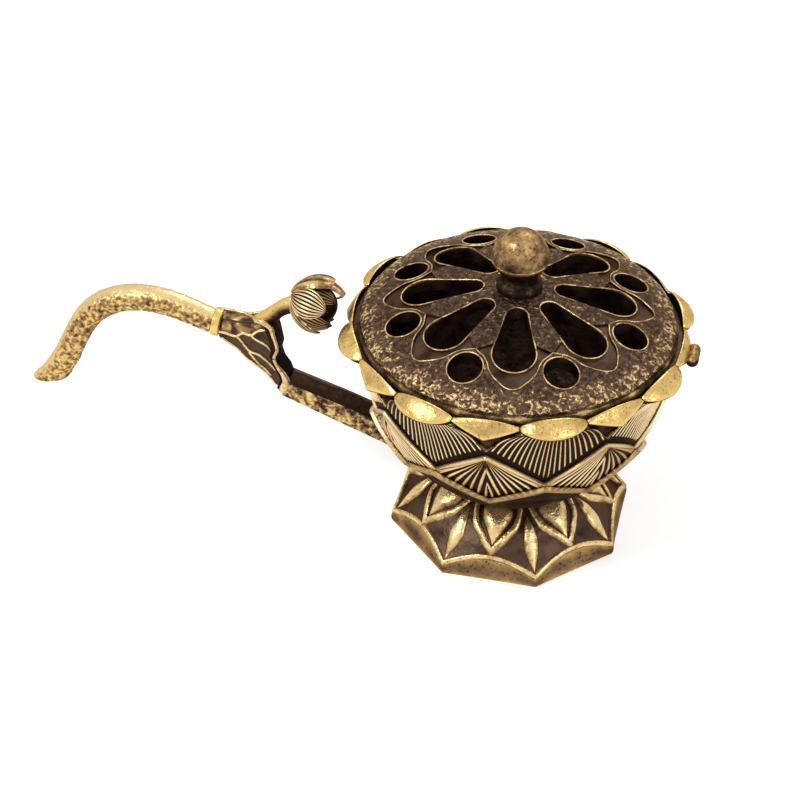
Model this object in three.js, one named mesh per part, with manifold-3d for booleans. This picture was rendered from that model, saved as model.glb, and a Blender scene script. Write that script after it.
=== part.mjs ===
// Hand censer: a lotus bowl on a star foot, a pierced domed lid and a curved handle with a bud.
// Millimetres, +Z up. The origin is the centre of the foot's underside, and the handle runs along -X.

import * as THREE from 'three';
import { mergeVertices } from 'three/addons/utils/BufferGeometryUtils.js';
import Module from 'manifold-3d';

const wasm = await Module();
wasm.setup();

// Lotus pattern: eight petals round the axis, one of them under the handle
const PETALS = 8;
const PETAL_STEP = 2 * Math.PI / PETALS;

// Clearances and cutting
const SOCKET_CLEARANCE = 0.1;
const SEAM_GAP = 0.3;
const OVERRUN_LENGTH = 2;
const MERGE_DISTANCE = 0.00001;

// Facet counts
const ROUND_SIDES = 40;
const SMALL_SIDES = 16;
const KNOB_SIDES = 24;
const HOLE_FACETS = 5;
const TIER_FACETS = 5;
const TIER_ROWS = 3;
const LOBE_FACETS = 5;

// Foot: a bell cut to an eight-pointed star, hollow underneath round a central boss
const FOOT_HEIGHT = 9.6;
const FOOT_CORNER_RADIUS = 17.5;
const FOOT_SIDE_RADIUS = 15.5;
const FOOT_RIM_HEIGHT = 3.2;
const FOOT_WAIST_RADIUS = 8.3;
const FOOT_BELL_RADIUS = 18.6;
const FOOT_WALL_THICKNESS = 2;
const FOOT_BOSS_RADIUS = 4.6;
const FOOT_HOLLOW_DEPTH = 4.6;
const FOOT_HOLLOW_SHARES = [[1, 0], [0.74, 0.7], [0.32, 1], [0, 1]];
const FOOT_BELL_SHARES = [[0, 0], [0, 0.08], [0.11, 0.175], [0.21, 0.26], [0.3, 0.35], [0.415, 0.49],
  [0.57, 0.635], [0.73, 0.745], [0.88, 0.835], [0.98, 0.925], [1, 1]];

// Foot ornament: a pointed arch round a drop on each side, and a slender leaf towards each corner.
// Reach and half width are shares of the corner radius.
const ARCH_HEIGHT = 0.35;
const DROP_HEIGHT = 0.75;
const SLIM_LEAF_HEIGHT = 0.55;
const ORNAMENT_ROOT_DEPTH = 0.6;
const ORNAMENT_SINK_DEPTH = 0.12;
const ARCH_OUTER_SHARES = [[0.5, 0.19], [0.617, 0.191], [0.677, 0.183], [0.763, 0.12], [0.875, 0]];
const ARCH_INNER_SHARES = [[0.5, 0.152], [0.617, 0.149], [0.673, 0.134], [0.747, 0.078], [0.832, 0]];
const DROP_SHARES = [[0.5, 0.09], [0.57, 0.13], [0.64, 0.11], [0.715, 0.07], [0.805, 0]];
const SLIM_LEAF_SHARES = [[0.62, 0], [0.7, 0.036], [0.794, 0.062], [0.88, 0.038], [0.957, 0]];

// Foot screw, driven from the bowl's floor down into the foot's boss
const SCREW_RADIUS = 1.5;
const SCREW_THREAD_DEPTH = 5.5;
const SCREW_HEAD_RADIUS = 2.8;
const SCREW_HEAD_HEIGHT = 1.5;
const SCREW_SLOT_WIDTH = 0.6;
const SCREW_SLOT_DEPTH = 0.7;
const WASHER_RADIUS = 3.6;
const WASHER_THICKNESS = 0.5;

// Bowl: the cup that carries the petals
const BOWL_DEPTH = 23.3;
const BOWL_RADIUS = 22.9;
const BOWL_WALL_THICKNESS = 1.9;
const BOWL_FLOOR_THICKNESS = 2.6;
const BOWL_OUTLINE_SHARES = [[0.454, 0], [0.533, 0.034], [0.594, 0.103], [0.651, 0.189], [0.738, 0.318],
  [0.817, 0.468], [0.865, 0.597], [0.9, 0.73], [0.943, 0.876], [1, 1]];

// Lid seat inside the mouth
const MOUTH_WALL_THICKNESS = 0.3;
const LEDGE_WIDTH = 2.2;

// Petal tiers, lowest first. Heights are shares of the bowl's depth.
const TIER_ROOT_DEPTH = 1;
const TIER_FOOT_SHARE = 0.1;
const PETAL_BOW_SHARE = 0.3;
const SHOULDER_SHARE = 0.45;
const SHOULDER_CURVE = 1.2;
const LOWER_TIER_THICKNESS = 1.7;
const MIDDLE_TIER_THICKNESS = 1.1;
const UPPER_TIER_THICKNESS = 0.5;
const LOWER_TIER_SHARES = { bottom: 0.03, valley: 0.29, apex: 0.47 };
const MIDDLE_TIER_SHARES = { bottom: 0.2, valley: 0.47, apex: 0.735 };
const UPPER_TIER_SHARES = { bottom: 0.42, valley: 0.77, apex: 0.975 };

// Lobed crown round the mouth: broad oval lobes over the upper petals, small pointed ones between
const NOTCH_WIDTH = 0.9;
const NOTCH_HEIGHT = 0.2;
const BROAD_LOBE_WIDTH = 1.5;
const BROAD_LOBE_HEIGHT = 1.1;
const BROAD_LOBE_DROP_HEIGHT = 0.25;
const SMALL_LOBE_WIDTH = 0.8;
const SMALL_LOBE_HEIGHT = 0.8;
const SMALL_LOBE_DROP_HEIGHT = 1.1;
const BROAD_LOBE_CURVE = 0.7;
const CREST_WIDTH = 0.35;
const LIP_THICKNESS = 0.5;
const CROWN_ROOT_DEPTH = 1.1;
const CROWN_SKIRT_DEPTH = 2.7;

// Rim lug opposite the handle
const LUG_RADIUS = 0.9;
const LUG_LENGTH = 2.6;
const LUG_FACETS = 2;
const LUG_SIDES = 10;

// Lid: a domed disc that drops into the mouth
const LID_CLEARANCE = 0.6;
const LID_DOME_RADIUS = 48;
const LID_THICKNESS = 1.9;
const LID_EDGE_HEIGHT = 1.3;
const LID_EDGE_RADIUS = 0.7;
const LID_CHAMFER_WIDTH = 0.3;
const LID_RIM_WIDTH = 2.4;
const LID_TURN = 7.8 * Math.PI / 180;
const LID_STEPS = 4;

// Lid openings. Insets are measured in from the lid's edge, offsets out from the knob's seat.
const TEARDROP_INNER_RADIUS = 1.5;
const TEARDROP_INNER_OFFSET = 2.9;
const TEARDROP_OUTER_RADIUS = 2.95;
const TEARDROP_OUTER_INSET = 8.9;
const ROUND_HOLE_RADIUS = 2.4;
const ROUND_HOLE_INSET = 5.5;

// Lowered petal round the outer part of each teardrop, in shares of the lid's radius
const RECESS_DEPTH = 0.3;
const RECESS_SHARES = [[0.5, 0.08], [0.563, 0.228], [0.6, 0.193], [0.659, 0.152], [0.736, 0.12],
  [0.8, 0.07], [0.838, 0.022]];

// Knob, with its stud, washer and nut
const KNOB_RADIUS = 3.95;
const KNOB_HEIGHT = 9;
const KNOB_COLLAR_RADIUS = 3.15;
const KNOB_SEAT_RADIUS = 3.4;
const STUD_RADIUS = 1.2;
const NUT_RADIUS = 2.6;
const NUT_HEIGHT = 1.6;
const NUT_SIDES = 6;
const KNOB_OUTLINE_SHARES = [[0.79, 0], [0.8, 0.08], [0.73, 0.14], [0.625, 0.2], [0.65, 0.27],
  [0.83, 0.38], [0.97, 0.475], [1, 0.52]];

// Handle bar: a tapering flat arm that climbs from a stub on the bowl's underside
const BAR_STUB_LENGTH = 3.66;
const BAR_ROOT_HEIGHT = 1.46;
const BAR_LENGTH = 17.65;
const BAR_TILT = 21.1 * Math.PI / 180;
const BAR_WIDTH = 3.8;
const BAR_ROOT_DEPTH = 3;
const BAR_END_DEPTH = 2.3;
const PEG_RADIUS = 0.8;
const PEG_LENGTH = 2;

// Leaf bracket: a veined lotus leaf between the bar, the grip and the bud's stalk
const LEAF_WIDTH = 10.9;
const LEAF_HEIGHT = 12.3;
const LEAF_THICKNESS = 3.2;
const LEAF_EDGE_RADIUS = 0.9;
const STEM_WIDTH = 1.5;
const VEIN_WIDTH = 0.55;
const VEIN_HEIGHT = 0.35;
const LEAF_OUTLINE_SHARES = [[0.056, 0.007], [-0.017, 0.178], [0.028, 0.308], [0.106, 0.479],
  [0.097, 0.658], [0.134, 0.845], [0.207, 0.95], [0.4, 0.975], [0.648, 0.91], [0.85, 0.959],
  [0.932, 0.674], [0.785, 0.536], [0.602, 0.389], [0.4, 0.243], [0.235, 0.121]];
const LEAF_STEM_SHARES = [[-0.017, 0.178], [0.028, 0.308], [0.106, 0.479], [0.097, 0.658],
  [0.134, 0.845], [0.207, 0.95]];
const LEAF_VEIN_SHARES = [
  [[0.93, 0.75], [0.72, 0.66], [0.59, 0.53], [0.27, 0.25]],
  [[0.72, 0.66], [0.62, 0.7], [0.53, 0.69], [0.22, 0.82]],
  [[0.53, 0.69], [0.36, 0.6], [0.19, 0.5]],
  [[0.59, 0.53], [0.42, 0.46], [0.17, 0.31]]];
const LEAF_COLLAR_CORNERS = [9, 10];

// Collar between the leaf and the grip
const COLLAR_RADIUS = 2.1;
const COLLAR_LENGTH = 1.3;
const COLLAR_TILT = 10.5 * Math.PI / 180;

// Grip: an S-curved tail that swells into a flared foot
const GRIP_LENGTH = 25.3;
const GRIP_HEIGHT = 14.2;
const GRIP_RADIUS = 2;
const GRIP_FLARE_RADIUS = 2.9;
const GRIP_END_DEPTH = 0.6;
const GRIP_STEPS = 18;
const GRIP_SIDES = 12;
const GRIP_PATH_SHARES = [[0, 0], [0.17, 0.11], [0.31, 0.158], [0.505, 0.122], [0.624, 0.018],
  [0.715, -0.132], [0.787, -0.334], [0.845, -0.54], [0.885, -0.69], [0.935, -0.84], [1, -1]];
const GRIP_GIRTH_SHARES = [0.92, 0.95, 0.98, 1, 1, 0.98, 0.95, 0.97, 1.03, 1.2, 1.45];
const GRIP_FLARE_WIDTH_SHARE = 1.1;

// Stalk that carries the bud
const STALK_RADIUS = 1.2;
const STALK_STEPS = 6;
const STALK_BOW_SHARE = 0.3;
const STALK_ROOT_SHARES = [0.3, 0.9];
const STALK_PEG_RADIUS = 0.6;

// Lotus bud: two rings of petals round a core. Turns are measured from the top towards the front.
const BUD_RADIUS = 4;
const BUD_RIM_GAP = 0.6;
const BUD_RIM_HEIGHT = 0.9;
const BUD_CORE_SHARE = 0.8;
const BUD_TILT = -0.3;
const BUD_RING_PETALS = 4;
const BUD_OUTER_TURN = 51 * Math.PI / 180;
const BUD_INNER_TURN = 106 * Math.PI / 180;
const BUD_PETAL_FACETS = 3;
const BUD_PETAL_THICKNESS = 1;
const BUD_OUTER_SHARES = { lift: 1, from: 0.12, to: 0.64, spread: 0.24 };
const BUD_INNER_SHARES = { lift: 0.93, from: 0.12, to: 0.84, spread: 0.19 };
const BUD_PETAL_CURVE_SHARES = [0.22, 0.98];
const BUD_FLARE_SHARE = 0.08;
const BUD_PETAL_TIP_ANGLE = 0.06;

// Finishes
const agedBrass = new THREE.MeshStandardMaterial({ color: 0x5e4a36, metalness: 1, roughness: 0.45 });
const warmBrass = new THREE.MeshStandardMaterial({ color: 0xb48a3c, metalness: 1, roughness: 0.38 });
const plainBrass = new THREE.MeshStandardMaterial({ color: 0xa58545, metalness: 1, roughness: 0.3 });

// Sizes worked out from those above. Each group measures heights from its own origin.
const mouthRadius = BOWL_RADIUS - MOUTH_WALL_THICKNESS;
const crownRadius = mouthRadius + NOTCH_WIDTH + SMALL_LOBE_WIDTH;
const lidRadius = mouthRadius - LID_CLEARANCE;
const domeEdge = lidRadius - LID_EDGE_RADIUS;
const domeRise = (domeEdge * domeEdge - KNOB_SEAT_RADIUS * KNOB_SEAT_RADIUS) / (2 * LID_DOME_RADIUS);
const lidTop = LID_EDGE_HEIGHT + LID_EDGE_RADIUS + domeRise;
const barRootReach = cupRadius(BAR_ROOT_HEIGHT) + BAR_STUB_LENGTH;

// Solids: every closed surface becomes a solid that can be joined and cut

function solidOf(geometry) {
  const bare = geometry.index ? geometry.toNonIndexed() : geometry.clone();
  bare.deleteAttribute('normal');
  bare.deleteAttribute('uv');
  const merged = mergeVertices(bare, MERGE_DISTANCE);
  const corners = merged.attributes.position;
  const kept = [];
  const list = merged.index.array;
  for (let i = 0; i < list.length; i += 3) {
    const [a, b, c] = [list[i], list[i + 1], list[i + 2]];
    if (a !== b && b !== c && c !== a) kept.push(a, b, c);
  }
  return new wasm.Manifold(new wasm.Mesh({
    numProp: 3,
    vertProperties: new Float32Array(corners.array),
    triVerts: new Uint32Array(kept),
  }));
}

function joined(solids) {
  return solids.reduce((whole, solid) => whole.add(solid));
}

function cut(solid, cutters) {
  return cutters.reduce((rest, cutter) => rest.subtract(cutter), solid);
}

function meshOf(name, solid, material) {
  const data = solid.getMesh();
  const geometry = new THREE.BufferGeometry();
  geometry.setAttribute('position', new THREE.BufferAttribute(new Float32Array(data.vertProperties), 3));
  geometry.setIndex(new THREE.BufferAttribute(new Uint32Array(data.triVerts), 1));
  geometry.computeVertexNormals();
  const mesh = new THREE.Mesh(geometry, material);
  mesh.name = name;
  return mesh;
}

// Revolves a closed outline of [radius, height] points, listed anticlockwise, round the Z axis
function revolved(outline, sides = ROUND_SIDES) {
  const points = outline.map(([radius, height]) => new THREE.Vector2(radius, height));
  const geometry = new THREE.LatheGeometry([...points, points[0]], sides);
  geometry.rotateX(Math.PI / 2);
  return solidOf(geometry);
}

function disc(radius, bottom, top, sides = ROUND_SIDES) {
  return revolved([[0, bottom], [radius, bottom], [radius, top], [0, top]], sides);
}

function upright(shape, bottom, top, curveSegments = HOLE_FACETS) {
  const geometry = new THREE.ExtrudeGeometry(shape, {
    depth: top - bottom, bevelEnabled: false, steps: 1, curveSegments,
  });
  geometry.translate(0, 0, bottom);
  return solidOf(geometry);
}

// Stands an outline drawn in the handle's plane upright, centred on that plane
function slab(shape, thickness, bevel = 0) {
  const geometry = new THREE.ExtrudeGeometry(shape, {
    depth: thickness - 2 * bevel, steps: 1, bevelEnabled: bevel > 0,
    bevelThickness: bevel, bevelSize: bevel, bevelOffset: -bevel, bevelSegments: 2,
  });
  geometry.rotateX(Math.PI / 2);
  geometry.translate(0, thickness / 2 - bevel, 0);
  return solidOf(geometry);
}

function turned(solid, angle) {
  return solid.rotate([0, 0, angle * 180 / Math.PI]);
}

// Tilts a solid in the handle's plane, so that what ran against X climbs
function tilted(solid, angle) {
  return solid.rotate([0, angle * 180 / Math.PI, 0]);
}

// Round pin along the handle, from one distance to another against X
function pin(radius, from, to) {
  return tilted(disc(radius, from, to, SMALL_SIDES), -Math.PI / 2);
}

function ringOf(solid, count, firstAngle = 0) {
  const copies = [];
  for (let i = 0; i < count; i += 1) copies.push(turned(solid, firstAngle + i * 2 * Math.PI / count));
  return copies;
}

// Joins rows of points into a closed skin. Each row is a closed loop; the ends are capped or meet.
function loftGeometry(rows, meets) {
  const count = rows[0].length;
  const positions = [];
  const put = (...points) => points.forEach((point) => positions.push(point.x, point.y, point.z));
  const spans = meets ? rows.length : rows.length - 1;
  for (let i = 0; i < spans; i += 1) {
    const here = rows[i];
    const next = rows[(i + 1) % rows.length];
    for (let j = 0; j < count; j += 1) {
      const k = (j + 1) % count;
      put(here[j], next[j], next[k], here[j], next[k], here[k]);
    }
  }
  if (!meets) {
    const middle = (row) => row.reduce((sum, point) => sum.add(point), new THREE.Vector3()).divideScalar(count);
    const first = rows[0];
    const last = rows[rows.length - 1];
    const firstMiddle = middle(first);
    const lastMiddle = middle(last);
    for (let j = 0; j < count; j += 1) {
      const k = (j + 1) % count;
      put(firstMiddle, first[j], first[k]);
      put(lastMiddle, last[k], last[j]);
    }
  }
  const geometry = new THREE.BufferGeometry();
  geometry.setAttribute('position', new THREE.Float32BufferAttribute(positions, 3));
  return geometry;
}

// Carries a changing section once round the axis
function ringLoft(steps, sectionAt) {
  const rows = [];
  for (let i = 0; i < steps; i += 1) {
    const angle = i * 2 * Math.PI / steps;
    rows.push(sectionAt(angle).map(([radius, height]) => new THREE.Vector3(
      radius * Math.cos(angle), radius * Math.sin(angle), height)));
  }
  return solidOf(loftGeometry(rows, true));
}

// Sweeps an oval section along stations in the handle's plane
function sweep(stations, sides) {
  const rows = stations.map(({ reach, height, tilt, girth, width }) => {
    const row = [];
    for (let j = 0; j < sides; j += 1) {
      const angle = j * 2 * Math.PI / sides;
      const across = girth * Math.sin(angle);
      row.push(new THREE.Vector3(
        -(reach - across * Math.sin(tilt)), width * Math.cos(angle), height + across * Math.cos(tilt)));
    }
    return row;
  });
  return solidOf(loftGeometry(rows, false));
}

function planShape(points) {
  return new THREE.Shape(points.map(([x, y]) => new THREE.Vector2(x, y)));
}

// Handle plane: reach is the distance out from the axis, against X
function handleShape(points) {
  const flipped = points.map(([reach, height]) => [-reach, height]);
  return planShape(flipped);
}

// Foot

// Eight sides between the corners, each pulled in to the given radius at its middle
function starLoop(middleRadius, height) {
  const half = PETAL_STEP / 2;
  const ahead = FOOT_CORNER_RADIUS * Math.cos(half) - middleRadius;
  const loop = [];
  for (let i = 0; i < PETALS * TIER_FACETS; i += 1) {
    const side = Math.floor(i / TIER_FACETS) * PETAL_STEP;
    const share = 2 * (i % TIER_FACETS) / TIER_FACETS - 1;
    const aside = FOOT_CORNER_RADIUS * Math.sin(half) * share;
    const point = new THREE.Vector3(middleRadius + ahead * share * share, aside, height);
    loop.push(point.applyAxisAngle(new THREE.Vector3(0, 0, 1), side));
  }
  return loop;
}

// Straight-sided on the table, drawn in to a star at the rim
function starSolid() {
  const straight = FOOT_CORNER_RADIUS * Math.cos(PETAL_STEP / 2);
  const loops = [starLoop(straight, 0), starLoop(FOOT_SIDE_RADIUS, FOOT_RIM_HEIGHT),
    starLoop(FOOT_SIDE_RADIUS, FOOT_HEIGHT)];
  return solidOf(loftGeometry(loops.map((loop) => loop.reverse()), false));
}

function bellOutline(raise) {
  return FOOT_BELL_SHARES.map(([inward, up]) => [
    FOOT_BELL_RADIUS - inward * (FOOT_BELL_RADIUS - FOOT_WAIST_RADIUS), up * FOOT_HEIGHT + raise]);
}

function bellHeight(radius) {
  const outline = bellOutline(0);
  const i = Math.max(outline.findIndex(([reach]) => reach <= radius), 1);
  const [r0, h0] = outline[i - 1];
  const [r1, h1] = outline[i];
  return r0 === r1 ? h1 : h0 + (h1 - h0) * (r0 - radius) / (r0 - r1);
}

function mirrored(points) {
  return [...points, ...points.map(([x, y]) => [x, -y]).reverse()];
}

function scaled(shares, size) {
  return shares.map(([reach, half]) => [reach * size, half * size]);
}

// Flat band that stands on the bell between two outlines drawn over it
function archSolid() {
  const half = scaled(ARCH_OUTER_SHARES, FOOT_CORNER_RADIUS).map((outer, i) => [
    outer, scaled(ARCH_INNER_SHARES, FOOT_CORNER_RADIUS)[i]]);
  const flip = ([x, y]) => [x, -y];
  const other = half.slice(0, -1).reverse().map(([outer, inner]) => [flip(outer), flip(inner)]);
  const stations = [...half, ...other];
  const onBell = ([x, y], raise) => new THREE.Vector3(x, y, bellHeight(Math.hypot(x, y)) + raise);
  const rows = stations.map(([outer, inner]) => [
    onBell(outer, -ORNAMENT_ROOT_DEPTH), onBell(inner, -ORNAMENT_ROOT_DEPTH),
    onBell(inner, ARCH_HEIGHT), onBell(outer, ARCH_HEIGHT)]);
  return solidOf(loftGeometry(rows, false));
}

// Ridged boss on the bell, along X
function bossSolid(shares, height) {
  const stations = scaled(shares, FOOT_CORNER_RADIUS);
  const widest = Math.max(...stations.map(([, half]) => half));
  const rows = stations.map(([reach, half]) => {
    const full = half / widest;
    const edge = bellHeight(Math.hypot(reach, half)) - ORNAMENT_SINK_DEPTH;
    const ridge = bellHeight(reach) - ORNAMENT_SINK_DEPTH;
    return [
      new THREE.Vector3(reach, half, edge),
      new THREE.Vector3(reach, 0, ridge - ORNAMENT_ROOT_DEPTH * full),
      new THREE.Vector3(reach, -half, edge),
      new THREE.Vector3(reach, 0, ridge + (height + ORNAMENT_SINK_DEPTH) * full),
    ];
  });
  return solidOf(loftGeometry(rows, false));
}

function footSolid() {
  const bell = revolved([[0, 0], ...bellOutline(0), [0, FOOT_HEIGHT]]);
  const body = bell.intersect(starSolid());
  const ornament = [
    ...ringOf(archSolid(), PETALS),
    ...ringOf(bossSolid(DROP_SHARES, DROP_HEIGHT), PETALS),
    ...ringOf(bossSolid(SLIM_LEAF_SHARES, SLIM_LEAF_HEIGHT), PETALS, PETAL_STEP / 2),
  ];
  const rimInside = FOOT_SIDE_RADIUS - FOOT_WALL_THICKNESS;
  const hollow = revolved([[FOOT_BOSS_RADIUS, -OVERRUN_LENGTH], [rimInside, -OVERRUN_LENGTH],
    ...FOOT_HOLLOW_SHARES.map(([out, up]) => [
      FOOT_BOSS_RADIUS + out * (rimInside - FOOT_BOSS_RADIUS), up * FOOT_HOLLOW_DEPTH])]);
  const thread = disc(SCREW_RADIUS + SOCKET_CLEARANCE, FOOT_HEIGHT - SCREW_THREAD_DEPTH - SEAM_GAP,
    FOOT_HEIGHT + OVERRUN_LENGTH, SMALL_SIDES);
  return cut(joined([body, ...ornament]), [hollow, thread]);
}

// Foot screw and washer, each measured from the face that it rests on

function washerSolid(hole, radius) {
  return revolved([[hole, 0], [radius, 0], [radius, WASHER_THICKNESS], [hole, WASHER_THICKNESS]], SMALL_SIDES);
}

function footScrewSolid() {
  const tip = -(WASHER_THICKNESS + BOWL_FLOOR_THICKNESS + SCREW_THREAD_DEPTH);
  const screw = revolved([[0, tip], [SCREW_RADIUS, tip], [SCREW_RADIUS, 0], [SCREW_HEAD_RADIUS, 0],
    [SCREW_HEAD_RADIUS, SCREW_HEAD_HEIGHT], [0, SCREW_HEAD_HEIGHT]], SMALL_SIDES);
  const long = SCREW_HEAD_RADIUS + OVERRUN_LENGTH;
  const wide = SCREW_SLOT_WIDTH / 2;
  const slot = planShape([[-long, -wide], [long, -wide], [long, wide], [-long, wide]]);
  return cut(screw, [upright(slot, SCREW_HEAD_HEIGHT - SCREW_SLOT_DEPTH, SCREW_HEAD_HEIGHT + OVERRUN_LENGTH)]);
}

// Bowl

function cupRadius(height) {
  const up = height / BOWL_DEPTH;
  const table = BOWL_OUTLINE_SHARES;
  const last = table.length - 1;
  let i = table.findIndex(([, share]) => share >= up);
  if (i < 0) i = last;
  if (i === 0) i = 1;
  const [r0, h0] = table[i - 1];
  const [r1, h1] = table[i];
  const part = Math.min(Math.max((up - h0) / (h1 - h0), 0), 1);
  return BOWL_RADIUS * (r0 + (r1 - r0) * part);
}

function cupSolid() {
  const outside = BOWL_OUTLINE_SHARES.map(([out, up]) => [out * BOWL_RADIUS, up * BOWL_DEPTH]);
  const inside = [];
  for (let i = LOBE_FACETS; i >= 0; i -= 1) {
    const height = BOWL_FLOOR_THICKNESS + (BOWL_DEPTH - BOWL_FLOOR_THICKNESS) * i / LOBE_FACETS;
    inside.push([Math.min(cupRadius(height) - BOWL_WALL_THICKNESS, mouthRadius - LEDGE_WIDTH), height]);
  }
  return revolved([[0, 0], ...outside, ...inside, [0, BOWL_FLOOR_THICKNESS]]);
}

// Share of the way from a petal's middle to its side, for petals centred on firstAngle
function sideShare(angle, firstAngle, step) {
  const turns = (angle - firstAngle) / step;
  return Math.abs(turns - Math.round(turns)) * 2;
}

function tierSolid(shares, thickness, footShare, firstAngle, topShare) {
  return ringLoft(PETALS * TIER_FACETS, (angle) => {
    const side = sideShare(angle, firstAngle, PETAL_STEP);
    const bottom = shares.bottom * BOWL_DEPTH;
    const top = BOWL_DEPTH * (shares.valley + (shares.apex - shares.valley) * topShare(side));
    const section = [[cupRadius(bottom) - TIER_ROOT_DEPTH, bottom]];
    for (let k = 0; k <= TIER_ROWS; k += 1) {
      const height = bottom + (top - bottom) * k / TIER_ROWS;
      const fullness = footShare + (1 - footShare) * k / TIER_ROWS;
      section.push([cupRadius(height) + thickness * fullness, height]);
    }
    section.push([cupRadius(top) - TIER_ROOT_DEPTH, top]);
    return section;
  });
}

// Pointed petals with slightly bowed sides
function pointedTop(side) {
  return 1 - side * (1 - PETAL_BOW_SHARE + PETAL_BOW_SHARE * side);
}

// Upper petals stay full up to the crown and fall away near their sides
function shoulderedTop(side) {
  const beyond = Math.max(side - SHOULDER_SHARE, 0) / (1 - SHOULDER_SHARE);
  return 1 - beyond ** SHOULDER_CURVE;
}

function crownSolid() {
  const lobeStep = PETAL_STEP / 2;
  return ringLoft(PETALS * 2 * LOBE_FACETS, (angle) => {
    const nearest = Math.round(angle / lobeStep);
    const broad = nearest % 2 !== 0;
    const side = Math.abs(angle / lobeStep - nearest) * 2;
    const swell = broad ? Math.max(1 - side * side, 0) ** BROAD_LOBE_CURVE : 1 - side;
    const inner = BOWL_DEPTH + NOTCH_HEIGHT + (broad ? BROAD_LOBE_HEIGHT : SMALL_LOBE_HEIGHT) * swell;
    const reach = mouthRadius + NOTCH_WIDTH + (broad ? BROAD_LOBE_WIDTH : SMALL_LOBE_WIDTH) * swell;
    const tip = BOWL_DEPTH - (broad ? BROAD_LOBE_DROP_HEIGHT : SMALL_LOBE_DROP_HEIGHT) * swell;
    return [
      [mouthRadius - CROWN_ROOT_DEPTH, BOWL_DEPTH - CROWN_ROOT_DEPTH],
      [cupRadius(BOWL_DEPTH - CROWN_SKIRT_DEPTH) - CREST_WIDTH, BOWL_DEPTH - CROWN_SKIRT_DEPTH],
      [reach - CREST_WIDTH, tip - LIP_THICKNESS],
      [reach, tip],
      [mouthRadius + CREST_WIDTH, inner],
      [mouthRadius, inner],
      [mouthRadius, BOWL_DEPTH],
    ];
  });
}

function lugSolid() {
  const lug = new THREE.CapsuleGeometry(LUG_RADIUS, LUG_LENGTH - 2 * LUG_RADIUS, LUG_FACETS, LUG_SIDES);
  lug.translate(crownRadius, 0, BOWL_DEPTH - LUG_RADIUS);
  return solidOf(lug);
}

function barHalf(along) {
  return (BAR_ROOT_DEPTH + (BAR_END_DEPTH - BAR_ROOT_DEPTH) * along / BAR_LENGTH) / 2;
}

// Stub on the bowl's underside, in line with the bar that meets its square end
function barStubSolid() {
  const inside = cupRadius(BOWL_FLOOR_THICKNESS) - BOWL_WALL_THICKNESS;
  const lean = barHalf(0) * Math.sin(BAR_TILT);
  const half = barHalf(0) * Math.cos(BAR_TILT);
  const innerMiddle = BAR_ROOT_HEIGHT - (barRootReach - inside) * Math.tan(BAR_TILT);
  return slab(handleShape([
    [barRootReach + lean, BAR_ROOT_HEIGHT - half],
    [barRootReach - lean, BAR_ROOT_HEIGHT + half],
    [inside, Math.max(innerMiddle + half, BOWL_FLOOR_THICKNESS / 2)],
    [inside, Math.max(innerMiddle - half, 0)]]), BAR_WIDTH);
}

function bowlSolid() {
  const petals = [
    tierSolid(LOWER_TIER_SHARES, LOWER_TIER_THICKNESS, TIER_FOOT_SHARE, PETAL_STEP / 2, pointedTop),
    tierSolid(MIDDLE_TIER_SHARES, MIDDLE_TIER_THICKNESS, 1, 0, pointedTop),
    tierSolid(UPPER_TIER_SHARES, UPPER_TIER_THICKNESS, 1, PETAL_STEP / 2, shoulderedTop),
  ];
  const body = joined([cupSolid(), ...petals, crownSolid(), lugSolid(), barStubSolid()]);
  const screwHole = disc(SCREW_RADIUS + SOCKET_CLEARANCE, -OVERRUN_LENGTH,
    BOWL_FLOOR_THICKNESS + OVERRUN_LENGTH, SMALL_SIDES);
  const socket = tilted(pin(PEG_RADIUS + SOCKET_CLEARANCE, -(PEG_LENGTH + SEAM_GAP), OVERRUN_LENGTH), BAR_TILT)
    .translate([-barRootReach, 0, BAR_ROOT_HEIGHT]);
  return cut(body, [screwHole, socket]);
}

// Lid, measured from the ledge that it rests on

function domeHeight(radius) {
  return lidTop - Math.max(radius * radius - KNOB_SEAT_RADIUS * KNOB_SEAT_RADIUS, 0) / (2 * LID_DOME_RADIUS);
}

function domeOutline(drop, edge) {
  const points = [[0, lidTop - drop]];
  for (let i = 0; i <= LID_STEPS; i += 1) {
    const radius = KNOB_SEAT_RADIUS + (edge - KNOB_SEAT_RADIUS) * i / LID_STEPS;
    points.push([radius, domeHeight(radius) - drop]);
  }
  return points;
}

// Slot with a small round end inward and a large one outward, along X
function teardropShape(innerRadius, innerReach, outerRadius, outerReach) {
  const lean = Math.acos((innerRadius - outerRadius) / (outerReach - innerReach));
  const shape = new THREE.Shape();
  shape.absarc(outerReach, 0, outerRadius, -lean, lean, false);
  shape.absarc(innerReach, 0, innerRadius, lean, 2 * Math.PI - lean, false);
  shape.closePath();
  return shape;
}

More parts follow.
